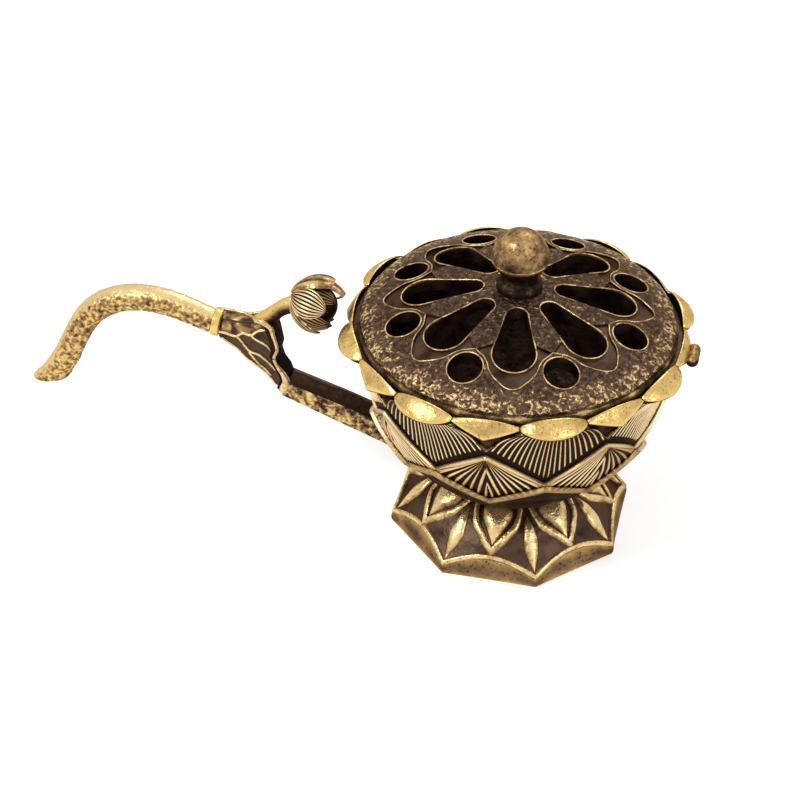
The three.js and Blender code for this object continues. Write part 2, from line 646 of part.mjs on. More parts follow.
function lidSolid() {
  const rimInside = lidRadius - LID_RIM_WIDTH;
  const top = domeOutline(0, domeEdge).reverse();
  const under = domeOutline(LID_THICKNESS, rimInside);
  const body = revolved([...under, [rimInside, 0], [lidRadius - LID_CHAMFER_WIDTH, 0],
    [lidRadius, LID_CHAMFER_WIDTH], [lidRadius, LID_EDGE_HEIGHT], ...top]);
  const below = -OVERRUN_LENGTH;
  const above = lidTop + OVERRUN_LENGTH;
  const hole = new THREE.Shape().absarc(lidRadius - ROUND_HOLE_INSET, 0, ROUND_HOLE_RADIUS, 0, 2 * Math.PI, false);
  const teardrop = teardropShape(TEARDROP_INNER_RADIUS, KNOB_SEAT_RADIUS + TEARDROP_INNER_OFFSET,
    TEARDROP_OUTER_RADIUS, lidRadius - TEARDROP_OUTER_INSET);
  const lowered = revolved([[0, below - OVERRUN_LENGTH], [lidRadius + OVERRUN_LENGTH, below - OVERRUN_LENGTH],
    ...domeOutline(RECESS_DEPTH, lidRadius + OVERRUN_LENGTH).reverse()]);
  const petal = planShape(mirrored(scaled(RECESS_SHARES, lidRadius)));
  const zone = upright(petal, below, above).subtract(lowered);
  const cutters = [
    ...ringOf(zone, PETALS, LID_TURN),
    ...ringOf(upright(teardrop, below, above), PETALS, LID_TURN),
    ...ringOf(upright(hole, below, above), PETALS, LID_TURN + PETAL_STEP / 2),
    disc(STUD_RADIUS + SOCKET_CLEARANCE, below, above, SMALL_SIDES),
  ];
  return cut(body, cutters);
}

// Knob and its nut, measured from the lid's crown

function knobSolid() {
  const ridge = KNOB_OUTLINE_SHARES[KNOB_OUTLINE_SHARES.length - 1][1] * KNOB_HEIGHT;
  const outline = KNOB_OUTLINE_SHARES.map(([out, up]) => [out * KNOB_RADIUS, up * KNOB_HEIGHT]);
  for (let i = 1; i <= LOBE_FACETS; i += 1) {
    const angle = i * Math.PI / 2 / LOBE_FACETS;
    outline.push([KNOB_RADIUS * Math.cos(angle), ridge + (KNOB_HEIGHT - ridge) * Math.sin(angle)]);
  }
  outline[outline.length - 1][0] = 0;
  const studEnd = -(LID_THICKNESS + WASHER_THICKNESS + NUT_HEIGHT + SEAM_GAP);
  return revolved([[0, studEnd], [STUD_RADIUS, studEnd], [STUD_RADIUS, 0], ...outline], KNOB_SIDES);
}

function knobNutSolid() {
  const nut = disc(NUT_RADIUS, 0, NUT_HEIGHT, NUT_SIDES);
  const bore = disc(STUD_RADIUS + SOCKET_CLEARANCE, -OVERRUN_LENGTH, NUT_HEIGHT + OVERRUN_LENGTH, SMALL_SIDES);
  return cut(nut, [bore]);
}

// Handle bar, measured along itself from the stub's end face

function barSolid() {
  const root = barHalf(SEAM_GAP);
  const end = barHalf(BAR_LENGTH);
  const outline = [[SEAM_GAP, -root], [SEAM_GAP, root], [BAR_LENGTH, end], [BAR_LENGTH, -end]];
  const body = slab(handleShape(outline), BAR_WIDTH);
  return joined([body, pin(PEG_RADIUS, -PEG_LENGTH, OVERRUN_LENGTH),
    pin(PEG_RADIUS, BAR_LENGTH - OVERRUN_LENGTH, BAR_LENGTH + PEG_LENGTH)]);
}

// Leaf bracket, measured from the middle of the bar's end face

function leafPoint([across, up]) {
  const half = BAR_END_DEPTH / 2;
  return [SEAM_GAP - half * Math.sin(BAR_TILT) + across * LEAF_WIDTH, up * LEAF_HEIGHT - half];
}

function ribbonShape(points, width) {
  const left = [];
  const right = [];
  points.forEach(([x, y], i) => {
    const [ax, ay] = points[Math.max(i - 1, 0)];
    const [bx, by] = points[Math.min(i + 1, points.length - 1)];
    const length = Math.hypot(bx - ax, by - ay);
    const [nx, ny] = [-(by - ay) / length * width / 2, (bx - ax) / length * width / 2];
    left.push([x + nx, y + ny]);
    right.unshift([x - nx, y - ny]);
  });
  return handleShape([...left, ...right]);
}

function collarFace() {
  const [top, low] = LEAF_COLLAR_CORNERS.map((corner) => leafPoint(LEAF_OUTLINE_SHARES[corner]));
  return { reach: (top[0] + low[0]) / 2, height: (top[1] + low[1]) / 2 };
}

// The bud's centre stands off the crown, and is given here from the bar's end
function budCentre() {
  const reach = crownRadius + BUD_RIM_GAP + BUD_RADIUS - (barRootReach + BAR_LENGTH * Math.cos(BAR_TILT));
  const height = BOWL_DEPTH - BUD_RIM_HEIGHT - (BAR_ROOT_HEIGHT + BAR_LENGTH * Math.sin(BAR_TILT));
  return { reach, height };
}

function stalkPath() {
  const [rootReach, rootHeight] = leafPoint(STALK_ROOT_SHARES);
  const centre = budCentre();
  const run = BUD_RADIUS * (1 + BUD_FLARE_SHARE) + SEAM_GAP;
  const endReach = centre.reach + run * Math.cos(BUD_TILT);
  const endHeight = centre.height + run * Math.sin(BUD_TILT);
  const points = [];
  for (let i = 0; i <= STALK_STEPS; i += 1) {
    const part = i / STALK_STEPS;
    const bow = STALK_RADIUS * STALK_BOW_SHARE * Math.sin(part * Math.PI);
    points.push([rootReach + (endReach - rootReach) * part, rootHeight + (endHeight - rootHeight) * part + bow]);
  }
  return points;
}

function alongPath(points, radius) {
  return points.map(([reach, height], i) => {
    const [fromReach, fromHeight] = points[Math.max(i - 1, 0)];
    const [toReach, toHeight] = points[Math.min(i + 1, points.length - 1)];
    const tilt = Math.atan2(toHeight - fromHeight, toReach - fromReach);
    return { reach, height, tilt, girth: radius, width: radius };
  });
}

// Block across the handle, to trim a piece flat at a joint
function trimBlock(from, to, depth) {
  const outline = [[from, -depth], [from, depth], [to, depth], [to, -depth]];
  return slab(handleShape(outline), BAR_WIDTH + 2 * OVERRUN_LENGTH);
}

function bracketSolid() {
  const leaf = slab(handleShape(LEAF_OUTLINE_SHARES.map(leafPoint)), LEAF_THICKNESS, LEAF_EDGE_RADIUS);
  const stemLine = LEAF_STEM_SHARES.map(leafPoint).map(([reach, height]) => [reach + STEM_WIDTH / 2, height]);
  const stem = slab(ribbonShape(stemLine, STEM_WIDTH), BAR_WIDTH);
  const veins = LEAF_VEIN_SHARES.map((line) => slab(
    ribbonShape(line.map(leafPoint), VEIN_WIDTH), LEAF_THICKNESS + 2 * VEIN_HEIGHT));
  const stalk = sweep(alongPath(stalkPath(), STALK_RADIUS), GRIP_SIDES);
  const face = collarFace();
  const centre = budCentre();
  const stalkPeg = tilted(pin(STALK_PEG_RADIUS, BUD_RADIUS - PEG_LENGTH, BUD_RADIUS + OVERRUN_LENGTH / 2), BUD_TILT)
    .translate([-centre.reach, 0, centre.height]);
  const sockets = [
    tilted(pin(PEG_RADIUS + SOCKET_CLEARANCE, -OVERRUN_LENGTH, PEG_LENGTH + SEAM_GAP), BAR_TILT),
    tilted(pin(PEG_RADIUS + SOCKET_CLEARANCE, -(PEG_LENGTH + SEAM_GAP), OVERRUN_LENGTH), COLLAR_TILT)
      .translate([-face.reach, 0, face.height]),
  ];
  const trims = [
    tilted(trimBlock(SEAM_GAP, -BAR_LENGTH, BAR_END_DEPTH), BAR_TILT),
    tilted(trimBlock(0, OVERRUN_LENGTH, 2 * COLLAR_RADIUS), COLLAR_TILT).translate([-face.reach, 0, face.height]),
  ];
  return cut(joined([leaf, stem, ...veins, stalk, stalkPeg]), [...trims, ...sockets]);
}

// Collar, round its own upright axis before it is laid along the handle

function collarSolid() {
  const bore = PEG_RADIUS + SOCKET_CLEARANCE;
  return revolved([[bore, 0], [COLLAR_RADIUS, 0], [COLLAR_RADIUS, COLLAR_LENGTH], [bore, COLLAR_LENGTH]], KNOB_SIDES);
}

// Grip, measured from its end face at the collar

function gripStations() {
  const path = new THREE.SplineCurve(GRIP_PATH_SHARES.map(([out, up]) => new THREE.Vector2(
    out * GRIP_LENGTH, up * GRIP_HEIGHT)));
  const girths = new THREE.SplineCurve(GRIP_GIRTH_SHARES.map((share, i) => new THREE.Vector2(
    i, share * GRIP_RADIUS)));
  const stations = [];
  for (let i = 0; i < GRIP_STEPS; i += 1) {
    const part = i / GRIP_STEPS;
    const point = path.getPoint(part);
    const slope = path.getTangent(part);
    const girth = girths.getPoint(part).y;
    const tilt = i === 0 ? COLLAR_TILT : Math.atan2(slope.y, slope.x);
    stations.push({ reach: point.x, height: point.y, tilt, girth, width: girth });
  }
  const end = path.getPoint(1);
  const flare = { reach: end.x, height: end.y, tilt: -Math.PI / 2,
    girth: GRIP_FLARE_RADIUS, width: GRIP_RADIUS * GRIP_FLARE_WIDTH_SHARE };
  const sole = { ...flare, height: end.y - GRIP_END_DEPTH,
    girth: flare.girth - GRIP_END_DEPTH, width: flare.width - GRIP_END_DEPTH };
  return [...stations, flare, sole];
}

function gripSolid() {
  const reachBack = PEG_LENGTH + COLLAR_LENGTH + 2 * SEAM_GAP;
  const peg = tilted(pin(PEG_RADIUS, -reachBack, OVERRUN_LENGTH), COLLAR_TILT);
  return sweep(gripStations(), GRIP_SIDES).add(peg);
}

// Lotus bud, round its own centre with its base against X

function between(from, to, part) {
  return from + (to - from) * part;
}

function budPetalSolid(shares, turn) {
  const rows = [];
  for (let i = 0; i <= BUD_PETAL_FACETS; i += 1) {
    const part = i / BUD_PETAL_FACETS;
    const polar = Math.PI * between(shares.from, shares.to, part);
    const fullness = Math.sin(Math.PI * between(...BUD_PETAL_CURVE_SHARES, part));
    const spread = Math.PI * shares.spread * fullness + BUD_PETAL_TIP_ANGLE;
    const lift = BUD_RADIUS * shares.lift * (1 - BUD_FLARE_SHARE + BUD_FLARE_SHARE * part);
    const row = [];
    const put = (radius, angle) => row.push(new THREE.Vector3(-radius * Math.cos(polar),
      -radius * Math.sin(polar) * Math.sin(angle), radius * Math.sin(polar) * Math.cos(angle)));
    for (let j = 0; j <= BUD_PETAL_FACETS; j += 1) put(lift, turn - spread * (2 * j / BUD_PETAL_FACETS - 1));
    for (let j = BUD_PETAL_FACETS; j >= 0; j -= 1) {
      put(lift - BUD_PETAL_THICKNESS, turn - spread * (2 * j / BUD_PETAL_FACETS - 1));
    }
    rows.push(row);
  }
  return solidOf(loftGeometry(rows, false));
}

function budSolid() {
  const core = new THREE.SphereGeometry(BUD_RADIUS * BUD_CORE_SHARE, GRIP_SIDES, LOBE_FACETS);
  const petals = [];
  for (let i = 0; i < BUD_RING_PETALS; i += 1) {
    const turn = i * 2 * Math.PI / BUD_RING_PETALS;
    petals.push(budPetalSolid(BUD_OUTER_SHARES, BUD_OUTER_TURN + turn));
    petals.push(budPetalSolid(BUD_INNER_SHARES, BUD_INNER_TURN + turn));
  }
  const bore = pin(STALK_PEG_RADIUS + SOCKET_CLEARANCE, BUD_RADIUS - PEG_LENGTH - SEAM_GAP, BUD_RADIUS + OVERRUN_LENGTH);
  return cut(joined([solidOf(core), ...petals]), [bore]);
}

// Assembly

function placed(object, reach, height, tilt = 0) {
  object.position.set(-reach, 0, height);
  object.rotation.y = tilt;
  return object;
}

function groupOf(...members) {
  const group = new THREE.Group();
  group.add(...members);
  return group;
}

const face = collarFace();
const bud = budCentre();

const collarGroup = groupOf(
  placed(meshOf('handle_collar', collarSolid(), warmBrass), SEAM_GAP, 0, -Math.PI / 2),
  placed(meshOf('grip', gripSolid(), warmBrass), COLLAR_LENGTH + 2 * SEAM_GAP, 0, -COLLAR_TILT),
);
const leafGroup = groupOf(
  meshOf('leaf_bracket', bracketSolid(), warmBrass),
  placed(meshOf('lotus_bud', budSolid(), warmBrass), bud.reach, bud.height, BUD_TILT),
  placed(collarGroup, face.reach, face.height, COLLAR_TILT),
);
const handleGroup = groupOf(
  meshOf('handle_bar', barSolid(), warmBrass),
  placed(leafGroup, BAR_LENGTH, 0, -BAR_TILT),
);
const bowlGroup = groupOf(
  meshOf('bowl', bowlSolid(), agedBrass),
  placed(meshOf('foot_washer', washerSolid(SCREW_RADIUS + SOCKET_CLEARANCE, WASHER_RADIUS), plainBrass),
    0, BOWL_FLOOR_THICKNESS),
  placed(meshOf('foot_screw', footScrewSolid(), plainBrass), 0, BOWL_FLOOR_THICKNESS + WASHER_THICKNESS),
  placed(handleGroup, barRootReach, BAR_ROOT_HEIGHT, BAR_TILT),
);
const knobGroup = groupOf(
  meshOf('lid_knob', knobSolid(), warmBrass),
  placed(meshOf('knob_washer', washerSolid(STUD_RADIUS + SOCKET_CLEARANCE, KNOB_COLLAR_RADIUS), plainBrass),
    0, -(LID_THICKNESS + WASHER_THICKNESS)),
  placed(meshOf('knob_nut', knobNutSolid(), plainBrass), 0, -(LID_THICKNESS + WASHER_THICKNESS + NUT_HEIGHT)),
);
const lidGroup = groupOf(
  meshOf('lid', lidSolid(), agedBrass),
  placed(knobGroup, 0, lidTop),
);

const censer = groupOf(
  meshOf('foot', footSolid(), agedBrass),
  placed(bowlGroup, 0, FOOT_HEIGHT),
  placed(lidGroup, 0, FOOT_HEIGHT + BOWL_DEPTH),
);
censer.name = 'hand_censer';

export default censer;
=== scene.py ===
"""A small brass lotus censer with a pierced lid and a curved handle, laid out as a Blender add-on."""

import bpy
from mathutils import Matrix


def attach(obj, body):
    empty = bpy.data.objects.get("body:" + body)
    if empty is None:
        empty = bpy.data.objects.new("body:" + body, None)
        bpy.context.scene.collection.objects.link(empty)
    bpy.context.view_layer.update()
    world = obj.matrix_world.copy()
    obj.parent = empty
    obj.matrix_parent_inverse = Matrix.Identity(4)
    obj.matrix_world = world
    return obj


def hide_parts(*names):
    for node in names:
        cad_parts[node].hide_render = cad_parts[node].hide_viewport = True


bl_info = {
    "name": "Lotus Hand Censer",
    "version": (1, 0, 0),
    "blender": (4, 5, 0),
    "location": "View3D > Sidebar > Censer",
    "description": "Models a small brass lotus censer with a pierced lid and a curved handle",
    "category": "Add Mesh",
}

import math

import bpy
import numpy as np
from bpy.props import FloatProperty, FloatVectorProperty, IntProperty, PointerProperty
from bpy.types import Operator, Panel, PropertyGroup
from mathutils import Matrix, Vector

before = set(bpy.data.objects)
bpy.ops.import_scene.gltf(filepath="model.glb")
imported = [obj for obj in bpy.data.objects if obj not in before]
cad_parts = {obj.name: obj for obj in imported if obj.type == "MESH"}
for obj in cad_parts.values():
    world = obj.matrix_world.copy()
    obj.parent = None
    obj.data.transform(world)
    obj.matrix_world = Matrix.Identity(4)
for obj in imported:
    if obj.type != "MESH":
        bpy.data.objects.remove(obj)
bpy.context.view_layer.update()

# Lengths are in millimetres, apart from the sizes that a user may change, which are in metres
MM = 0.001
# Points closer than this many metres are merged
WELD = 0.000004
PETALS = 8
STEP = 2 * math.pi / PETALS
BLACK = (0, 0, 0)
WHITE = (1, 1, 1, 1)
# Degrees between two faces up to which an edge is shaded smooth: edged, cast and flowing forms
EDGED = 35
CAST = 50
FLOWING = 60

# The bowl's outline: radius and height above the bowl's underside
CUP_OUTLINE = ((10.4, 0.0), (12.2, 0.8), (13.6, 2.4), (14.9, 4.4), (16.9, 7.4), (18.7, 10.9),
               (19.8, 13.9), (20.6, 17.0), (21.6, 20.4), (22.9, 23.3))
# The foot's bell: radius and height above the table
BELL_OUTLINE = ((18.6, 0.77), (17.47, 1.68), (16.44, 2.5), (15.51, 3.36), (14.33, 4.7), (12.73, 6.1),
                (11.08, 7.15), (9.54, 8.02), (8.5, 8.88), (8.3, 9.6))
# Leaf outline, read from the collar's top corner round to the bar and back: reach and height
LEAF_OUTLINE = ((33.6, 16.6), (32.8, 18.6), (33.2, 20.0), (34.05, 21.3), (34.45, 22.7), (34.1, 24.0),
                (34.5, 26.6), (34.9, 28.3), (36.3, 28.8), (38.9, 28.1), (42.25, 28.3), (43.1, 24.7), (41.7, 23.9),
                (40.3, 22.9), (39.0, 21.4), (37.3, 20.2), (35.7, 18.7), (34.5, 17.2))


# Small tools

def give(thing, **values):
    for key, value in values.items():
        setattr(thing, key, value)
    return thing


def deselect():
    if bpy.context.object and bpy.context.object.mode != "OBJECT":
        bpy.ops.object.mode_set(mode="OBJECT")
    bpy.ops.object.select_all(action="DESELECT")


def only(piece):
    deselect()
    piece.select_set(True)
    bpy.context.view_layer.objects.active = piece


def added(name, add, **values):
    """Runs an operator that adds an object, and names what it adds."""
    deselect()
    add(**values)
    return give(bpy.context.object, name=name)


def select_all(action="SELECT"):
    bpy.ops.mesh.select_all(action=action)


def edit_all(piece, *steps):
    """Runs edit-mode steps on the whole of a piece."""
    only(piece)
    bpy.ops.object.mode_set(mode="EDIT")
    select_all()
    for step in steps:
        step()
    bpy.ops.object.mode_set(mode="OBJECT")


def weld():
    bpy.ops.mesh.remove_doubles(threshold=WELD)


def outward():
    bpy.ops.mesh.normals_make_consistent(inside=False)


def extrude(x, y, z):
    bpy.ops.mesh.extrude_region_move(TRANSFORM_OT_translate={"value": (x * MM, y * MM, z * MM)})


def lay_relief(piece, values):
    """values is one number, or one for each vertex: 0 in a hollow and 1 on a rubbed edge. On some
    pieces it also carries painted highlights and painted shade.
    """
    layer = piece.data.attributes.get("relief") or piece.data.attributes.new("relief", "FLOAT", "POINT")
    layer.data.foreach_set("value", np.full(len(piece.data.vertices), values, dtype=np.float32))


def points_of(piece):
    flat = np.empty(len(piece.data.vertices) * 3)
    piece.data.vertices.foreach_get("co", flat)
    return flat.reshape(-1, 3)


def move_points(piece, x, y, z):
    piece.data.vertices.foreach_set("co", (np.stack([x, y, z], axis=1) * MM).ravel())
    piece.data.update()


def skin(name, columns, rows, place):
    """Bends a grid to a form. place(u, v) takes 0 to 1 across and along, and gives x, y, z and the relief."""
    piece = added(name, bpy.ops.mesh.primitive_grid_add, x_subdivisions=columns, y_subdivisions=rows, size=1)
    u, v = np.clip(points_of(piece)[:, :2] + 0.5, 0, 1).T
    x, y, z, relief = (item + 0 * u for item in place(u, v))
    move_points(piece, x, y, z)
    lay_relief(piece, relief)
    edit_all(piece, weld, outward)
    return piece


def wrap(name, columns, rows, place):
    """A skin of which place gives radius, angle, height and relief."""
    def upright(u, v):
        radius, angle, height, relief = place(u, v)
        return radius * np.cos(angle), radius * np.sin(angle), height, relief
    return skin(name, columns, rows, upright)


def close_back(piece, sides=0):
    """Closes the open border of a sheet, whose edges are sunk into the body behind it, or of a tube."""
    edit_all(piece, lambda: select_all("DESELECT"), lambda: bpy.ops.mesh.select_non_manifold(),
             lambda: bpy.ops.mesh.fill_holes(sides=sides), select_all, outward)
    return piece


def turned_piece(name, profile, steps=96):
    """Spins a profile of (radius, height) round the upright axis, as on a lathe."""
    r, z = profile[0]
    piece = added(name, bpy.ops.mesh.primitive_plane_add, size=MM, location=(r * MM, 0, z * MM))
    bpy.ops.object.transform_apply(location=True)

    def line():
        bpy.ops.mesh.merge(type="CENTER")
        for (r0, z0), (r1, z1) in zip(profile, profile[1:]):
            extrude(r1 - r0, 0, z1 - z0)

    edit_all(piece, line, select_all,
             lambda: bpy.ops.mesh.spin(steps=steps, angle=2 * math.pi, center=(0, 0, 0), axis=(0, 0, 1)),
             select_all, weld, outward)
    return piece


def plate(name, outline, bottom, top):
    """Extrudes a flat outline of (x, y) straight up."""
    piece = added(name, bpy.ops.mesh.primitive_circle_add, vertices=len(outline), radius=MM, fill_type="NGON")
    for vertex, (x, y) in zip(piece.data.vertices, outline):
        vertex.co = Vector((x, y, bottom)) * MM
    edit_all(piece, lambda: extrude(0, 0, top - bottom), select_all, outward)
    return piece


def join(pieces, name):
    deselect()
    for piece in pieces:
        piece.select_set(True)
    bpy.context.view_layer.objects.active = pieces[0]
    if len(pieces) > 1:
        bpy.ops.object.join()
    return give(pieces[0], name=name)


def round_the_axis(piece, first=0.0):
    """Copies a piece evenly round the upright axis and joins the copies."""
    piece.data.transform(Matrix.Rotation(first, 4, "Z"))
    copies = [piece]
    for i in range(1, PETALS):
        copy = give(piece.copy(), data=piece.data.copy())
        copy.data.transform(Matrix.Rotation(i * STEP, 4, "Z"))
        bpy.context.collection.objects.link(copy)
        copies.append(copy)
    return join(copies, piece.name)


def modify(piece, kind, **values):
    """Adds a modifier with these values and applies it."""
    only(piece)
    step = give(piece.modifiers.new("step", kind), **values)
    bpy.ops.object.modifier_apply(modifier=step.name)


def carve(piece, cutter):
    modify(piece, "BOOLEAN", object=cutter, operation="DIFFERENCE", solver="EXACT")
    bpy.data.objects.remove(cutter, do_unlink=True)


def soften(piece, width, segments=2, angle=30):
    modify(piece, "BEVEL", width=width * MM, segments=segments, limit_method="ANGLE",
           angle_limit=math.radians(angle))


def hand_over(piece, finishes, smooth=40, stands_for=(), body="censer"):
    """Completes a piece: place in its mesh, named finishes, body and the nodes it stands for."""
    only(piece)
    bpy.ops.object.transform_apply(location=True, rotation=True, scale=True)
    bpy.ops.object.shade_smooth_by_angle(angle=math.radians(smooth))
    piece.data.materials.clear()
    for name in finishes:
        piece.data.materials.append(finish(name))
    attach(piece, body)
    if stands_for:
        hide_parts(*stands_for)


def second_finish(piece, chosen):
    """Gives a piece's second finish to the faces of which chosen(x, y, z, normal) is true."""
    for face in piece.data.polygons:
        if chosen(*(face.center / MM), face.normal):
            face.material_index = 1


def size_of(name):
    """A size that a user may change, in millimetres."""
    return getattr(bpy.context.scene.censer_sizes, name) / MM


def mouth_rim():
    """Radius of the bowl's mouth and height of the ledge round it."""
    return size_of("mouth_radius"), size_of("foot_height") + size_of("bowl_depth")


def entry(table, at):
    """Number of the table's entry at that share of its length, and its two values."""
    row = np.rint(at * (len(table) - 1)).astype(int)
    return row, *np.array(table)[row].T


def read(table, at):
    """Straight-line reading of a table of (position, value) pairs."""
    xs, ys = zip(*table)
    return np.interp(at, xs, ys)


def evenly(values, at):
    """Straight-line reading of values that lie evenly between 0 and 1."""
    return np.interp(at, np.linspace(0, 1, len(values)), values)


def cup_radius(height):
    """Radius of the bowl's cup at a height above the bowl's underside."""
    return read([(z, r) for r, z in CUP_OUTLINE], height)


def bell_height(radius):
    return read(BELL_OUTLINE[::-1], radius)


def smooth_step(low, high, value):
    t = np.clip((value - low) / (high - low), 0, 1)
    return t * t * (3 - 2 * t)


def wave(phase, sharp=1.6):
    """0 in the groove and 1 on the rib."""
    return (0.5 + 0.5 * np.cos(2 * math.pi * phase)) ** sharp


def arc(x, y, radius, start, end, count):
    return [(x + radius * math.cos(a), y + radius * math.sin(a)) for a in np.linspace(start, end, count)]


def unit(vectors):
    return vectors / np.linalg.norm(vectors, axis=1)[:, None]


def tube(name, path, radius, sides=10, closed=False, relief=1.0):
    """A bead along a path of (x, y, z) points, with one radius or one for each point."""
    path = np.array(path, dtype=float)
    count = len(path)
    ahead = np.roll(path, -1, axis=0) - np.roll(path, 1, axis=0)
    if not closed:
        ahead[0] = path[1] - path[0]
        ahead[-1] = path[-1] - path[-2]
    ahead = unit(ahead)
    across = unit(np.cross(ahead, (0, 0, 1)))
    up = np.cross(across, ahead)
    radii = np.full(count, radius, dtype=float)
    rows = count if closed else count - 1

    def place(u, v):
        index = np.rint(v * rows).astype(int) % count
        angle = 2 * math.pi * np.rint(u * sides)[:, None] / sides
        point = path[index] + radii[index][:, None] * (np.cos(angle) * across[index] + np.sin(angle) * up[index])
        return (*point.T, relief)

    piece = skin(name, sides, rows, place)
    return piece if closed else close_back(piece, sides + 2)


def curve_through(points, count):
    """Even points on a smooth curve through the given ones."""
    points = np.array(points, dtype=float)
    lengths = np.concatenate([[0], np.cumsum(np.linalg.norm(np.diff(points, axis=0), axis=1))])
    slopes = np.gradient(points, lengths, axis=0)
    at = np.linspace(0, lengths[-1], count)
    k = np.clip(np.searchsorted(lengths, at, side="right") - 1, 0, len(points) - 2)
    h = (lengths[k + 1] - lengths[k])[:, None]
    t = (at - lengths[k])[:, None] / h
    return ((2 * t**3 - 3 * t**2 + 1) * points[k] + (t**3 - 2 * t**2 + t) * h * slopes[k]
            + (-2 * t**3 + 3 * t**2) * points[k + 1] + (t**3 - t**2) * h * slopes[k + 1])


def lit_from_above(piece, low=-0.2, high=0.6):
    """Relief from the way a surface faces: a painted highlight on the tops and painted shade on the undersides."""
    way = np.empty(len(piece.data.vertices) * 3, dtype=np.float32)
    piece.data.vertices.foreach_get("normal", way)
    lay_relief(piece, 0.1 + 0.85 * smooth_step(low, high, way.reshape(-1, 3)[:, 2]))


# Finishes

class Nodes:
    """A node tree put together step by step."""

    def __init__(self, tree):
        self.tree = tree

    def add(self, kind, **values):
        return give(self.tree.nodes.new(kind), **values)

    def link(self, source, target):
        if hasattr(source, "links"):
            self.tree.links.new(source, target)
        else:
            target.default_value = source

    def wire(self, node, values):
        """Sets inputs of a node by their names."""
        for key, value in values.items():
            self.link(value, node.inputs[key])
        return node

    def fill(self, node, *values):
        """Sets a node's first inputs and gives its first output."""
        for socket, value in zip(node.inputs, values):
            self.link(value, socket)
        return node.outputs[0]

    def maths(self, operation, a, b):
        return self.fill(self.add("ShaderNodeMath", operation=operation), a, b)

    def times(self, a, b):
        return self.maths("MULTIPLY", a, b)

    def more(self, level, value, amount):
        """The level plus a share of the value."""
        return self.maths("ADD", level, self.times(value, amount))

    def sway(self, level, noise, amount):
        """The level moved up and down by a noise."""
        return self.more(level, self.maths("SUBTRACT", noise, 0.5), amount)

    def span(self, value, low, high, out_low=0.0, out_high=1.0):
        return self.fill(self.add("ShaderNodeMapRange", interpolation_type="SMOOTHSTEP"),
                         value, low, high, out_low, out_high)

    def seen(self):
        """1 for what the camera sees, straight or in a reflection, and 0 for light that only falls on things."""
        rays = self.add("ShaderNodeLightPath").outputs
        sharp = self.maths("MAXIMUM", rays["Is Camera Ray"], rays["Is Glossy Ray"])
        return self.maths("MAXIMUM", sharp, rays["Is Transmission Ray"])


class Finish(Nodes):
    """A material for a piece. The size of a noise is about that of its blotches."""

    def __init__(self, name):
        self.material = bpy.data.materials.new(name)
        self.material.use_nodes = True
        super().__init__(self.material.node_tree)
        self.shader = self.tree.nodes["Principled BSDF"]
        self.place = self.add("ShaderNodeTexCoord").outputs["Object"]

    def noise(self, size, detail=2.0, roughness=0.5, distortion=0.0):
        mapping = self.wire(self.add("ShaderNodeMapping"), {"Vector": self.place, "Scale": (1 / (size * MM),) * 3})
        node = self.wire(self.add("ShaderNodeTexNoise"), {
            "Vector": mapping.outputs[0], "Scale": 1, "Detail": detail, "Roughness": roughness,
            "Distortion": distortion})
        return node.outputs["Fac"]

    def relief(self):
        return self.add("ShaderNodeAttribute", attribute_name="relief").outputs["Fac"]

    def ramp(self, value, *stops):
        node = self.add("ShaderNodeValToRGB")
        elements = node.color_ramp.elements
        while len(elements) < len(stops):
            elements.new(0.5)
        for element, (position, colour) in zip(elements, stops):
            give(element, position=position, color=(*colour, 1))
        return self.fill(node, value)

    def mix(self, share, a, b):
        node = self.add("ShaderNodeMix", data_type="RGBA")
        for socket, value in ((0, share), (6, a), (7, b)):
            self.link((*value, 1) if isinstance(value, tuple) else value, node.inputs[socket])
        return node.outputs[2]

    def bumps(self, *layers):
        """Layers of (height, depth)."""
        normal = {}
        for height, depth in layers:
            node = self.wire(self.add("ShaderNodeBump"), {"Distance": depth * MM, "Height": height, **normal})
            normal = {"Normal": node.outputs["Normal"]}
        self.wire(self.shader, normal)

    def done(self, colour, roughness, metallic=1.0, edge=(0.6, 0.48, 0.38)):
        """Wires up the shader. edge tints what the surface reflects at a glancing angle."""
        self.wire(self.shader, {"Base Color": colour, "Roughness": roughness, "Metallic": metallic,
                                "Specular Tint": (*edge, 1), "Specular IOR Level": 0.25})
        return self.material


def colours(*names):
    return [tuple(getattr(bpy.context.scene.censer_colours, name)) for name in names]


def blend(a, b, share):
    return tuple(x + (y - x) * share for x, y in zip(a, b))


def hammered_brass(name, share=0.5, size=1.0, smooth_top_with_highlight=False, pits=0.35, light=0.0, lowest=0.0):
    """Golden hammered brass with dark pits between its bumps. share sets how much gold shows, lowest
    lightens the bottom of the pits, and smooth_top_with_highlight smooths the top and paints a highlight on it."""
    gold, pale, deep, patina, shadow = colours("gold", "pale_gold", "deep_gold", "patina", "shadow")
    shadow = blend(shadow, patina, lowest)
    patina = blend(patina, deep, 0.8 * lowest)
    f = Finish(name)
    bumps = f.noise(size, detail=1.5, roughness=0.4, distortion=0.4)
    fine = f.noise(size * 0.35)
    level = f.sway(f.sway(bumps, fine, 0.15), f.noise(size * 6), 0.25)
    level = f.maths("ADD", level, (share - 0.5) * 0.4)
    height = bumps
    if smooth_top_with_highlight:
        # The relief is 1 on the top: the bumps there are shallower, and the raised level and the pale gold mixed in
        # are a painted highlight
        crown = f.relief()
        level = f.more(level, crown, 0.3)
        height = f.times(bumps, f.maths("SUBTRACT", 1.0, f.times(crown, 0.75)))
    colour = f.ramp(level, (0.34 + light, shadow), (0.42 + light, patina), (0.52 + light, deep),
                    (0.6 + light, blend(gold, deep, 0.5)), (0.68 + light, gold))
    if smooth_top_with_highlight:
        colour = f.mix(f.times(crown, 0.55), colour, pale)
    f.bumps((height, pits * size), (fine, 0.04))
    return f.done(colour, f.span(level, 0.4, 0.7, 0.45, 0.28), 0.8)


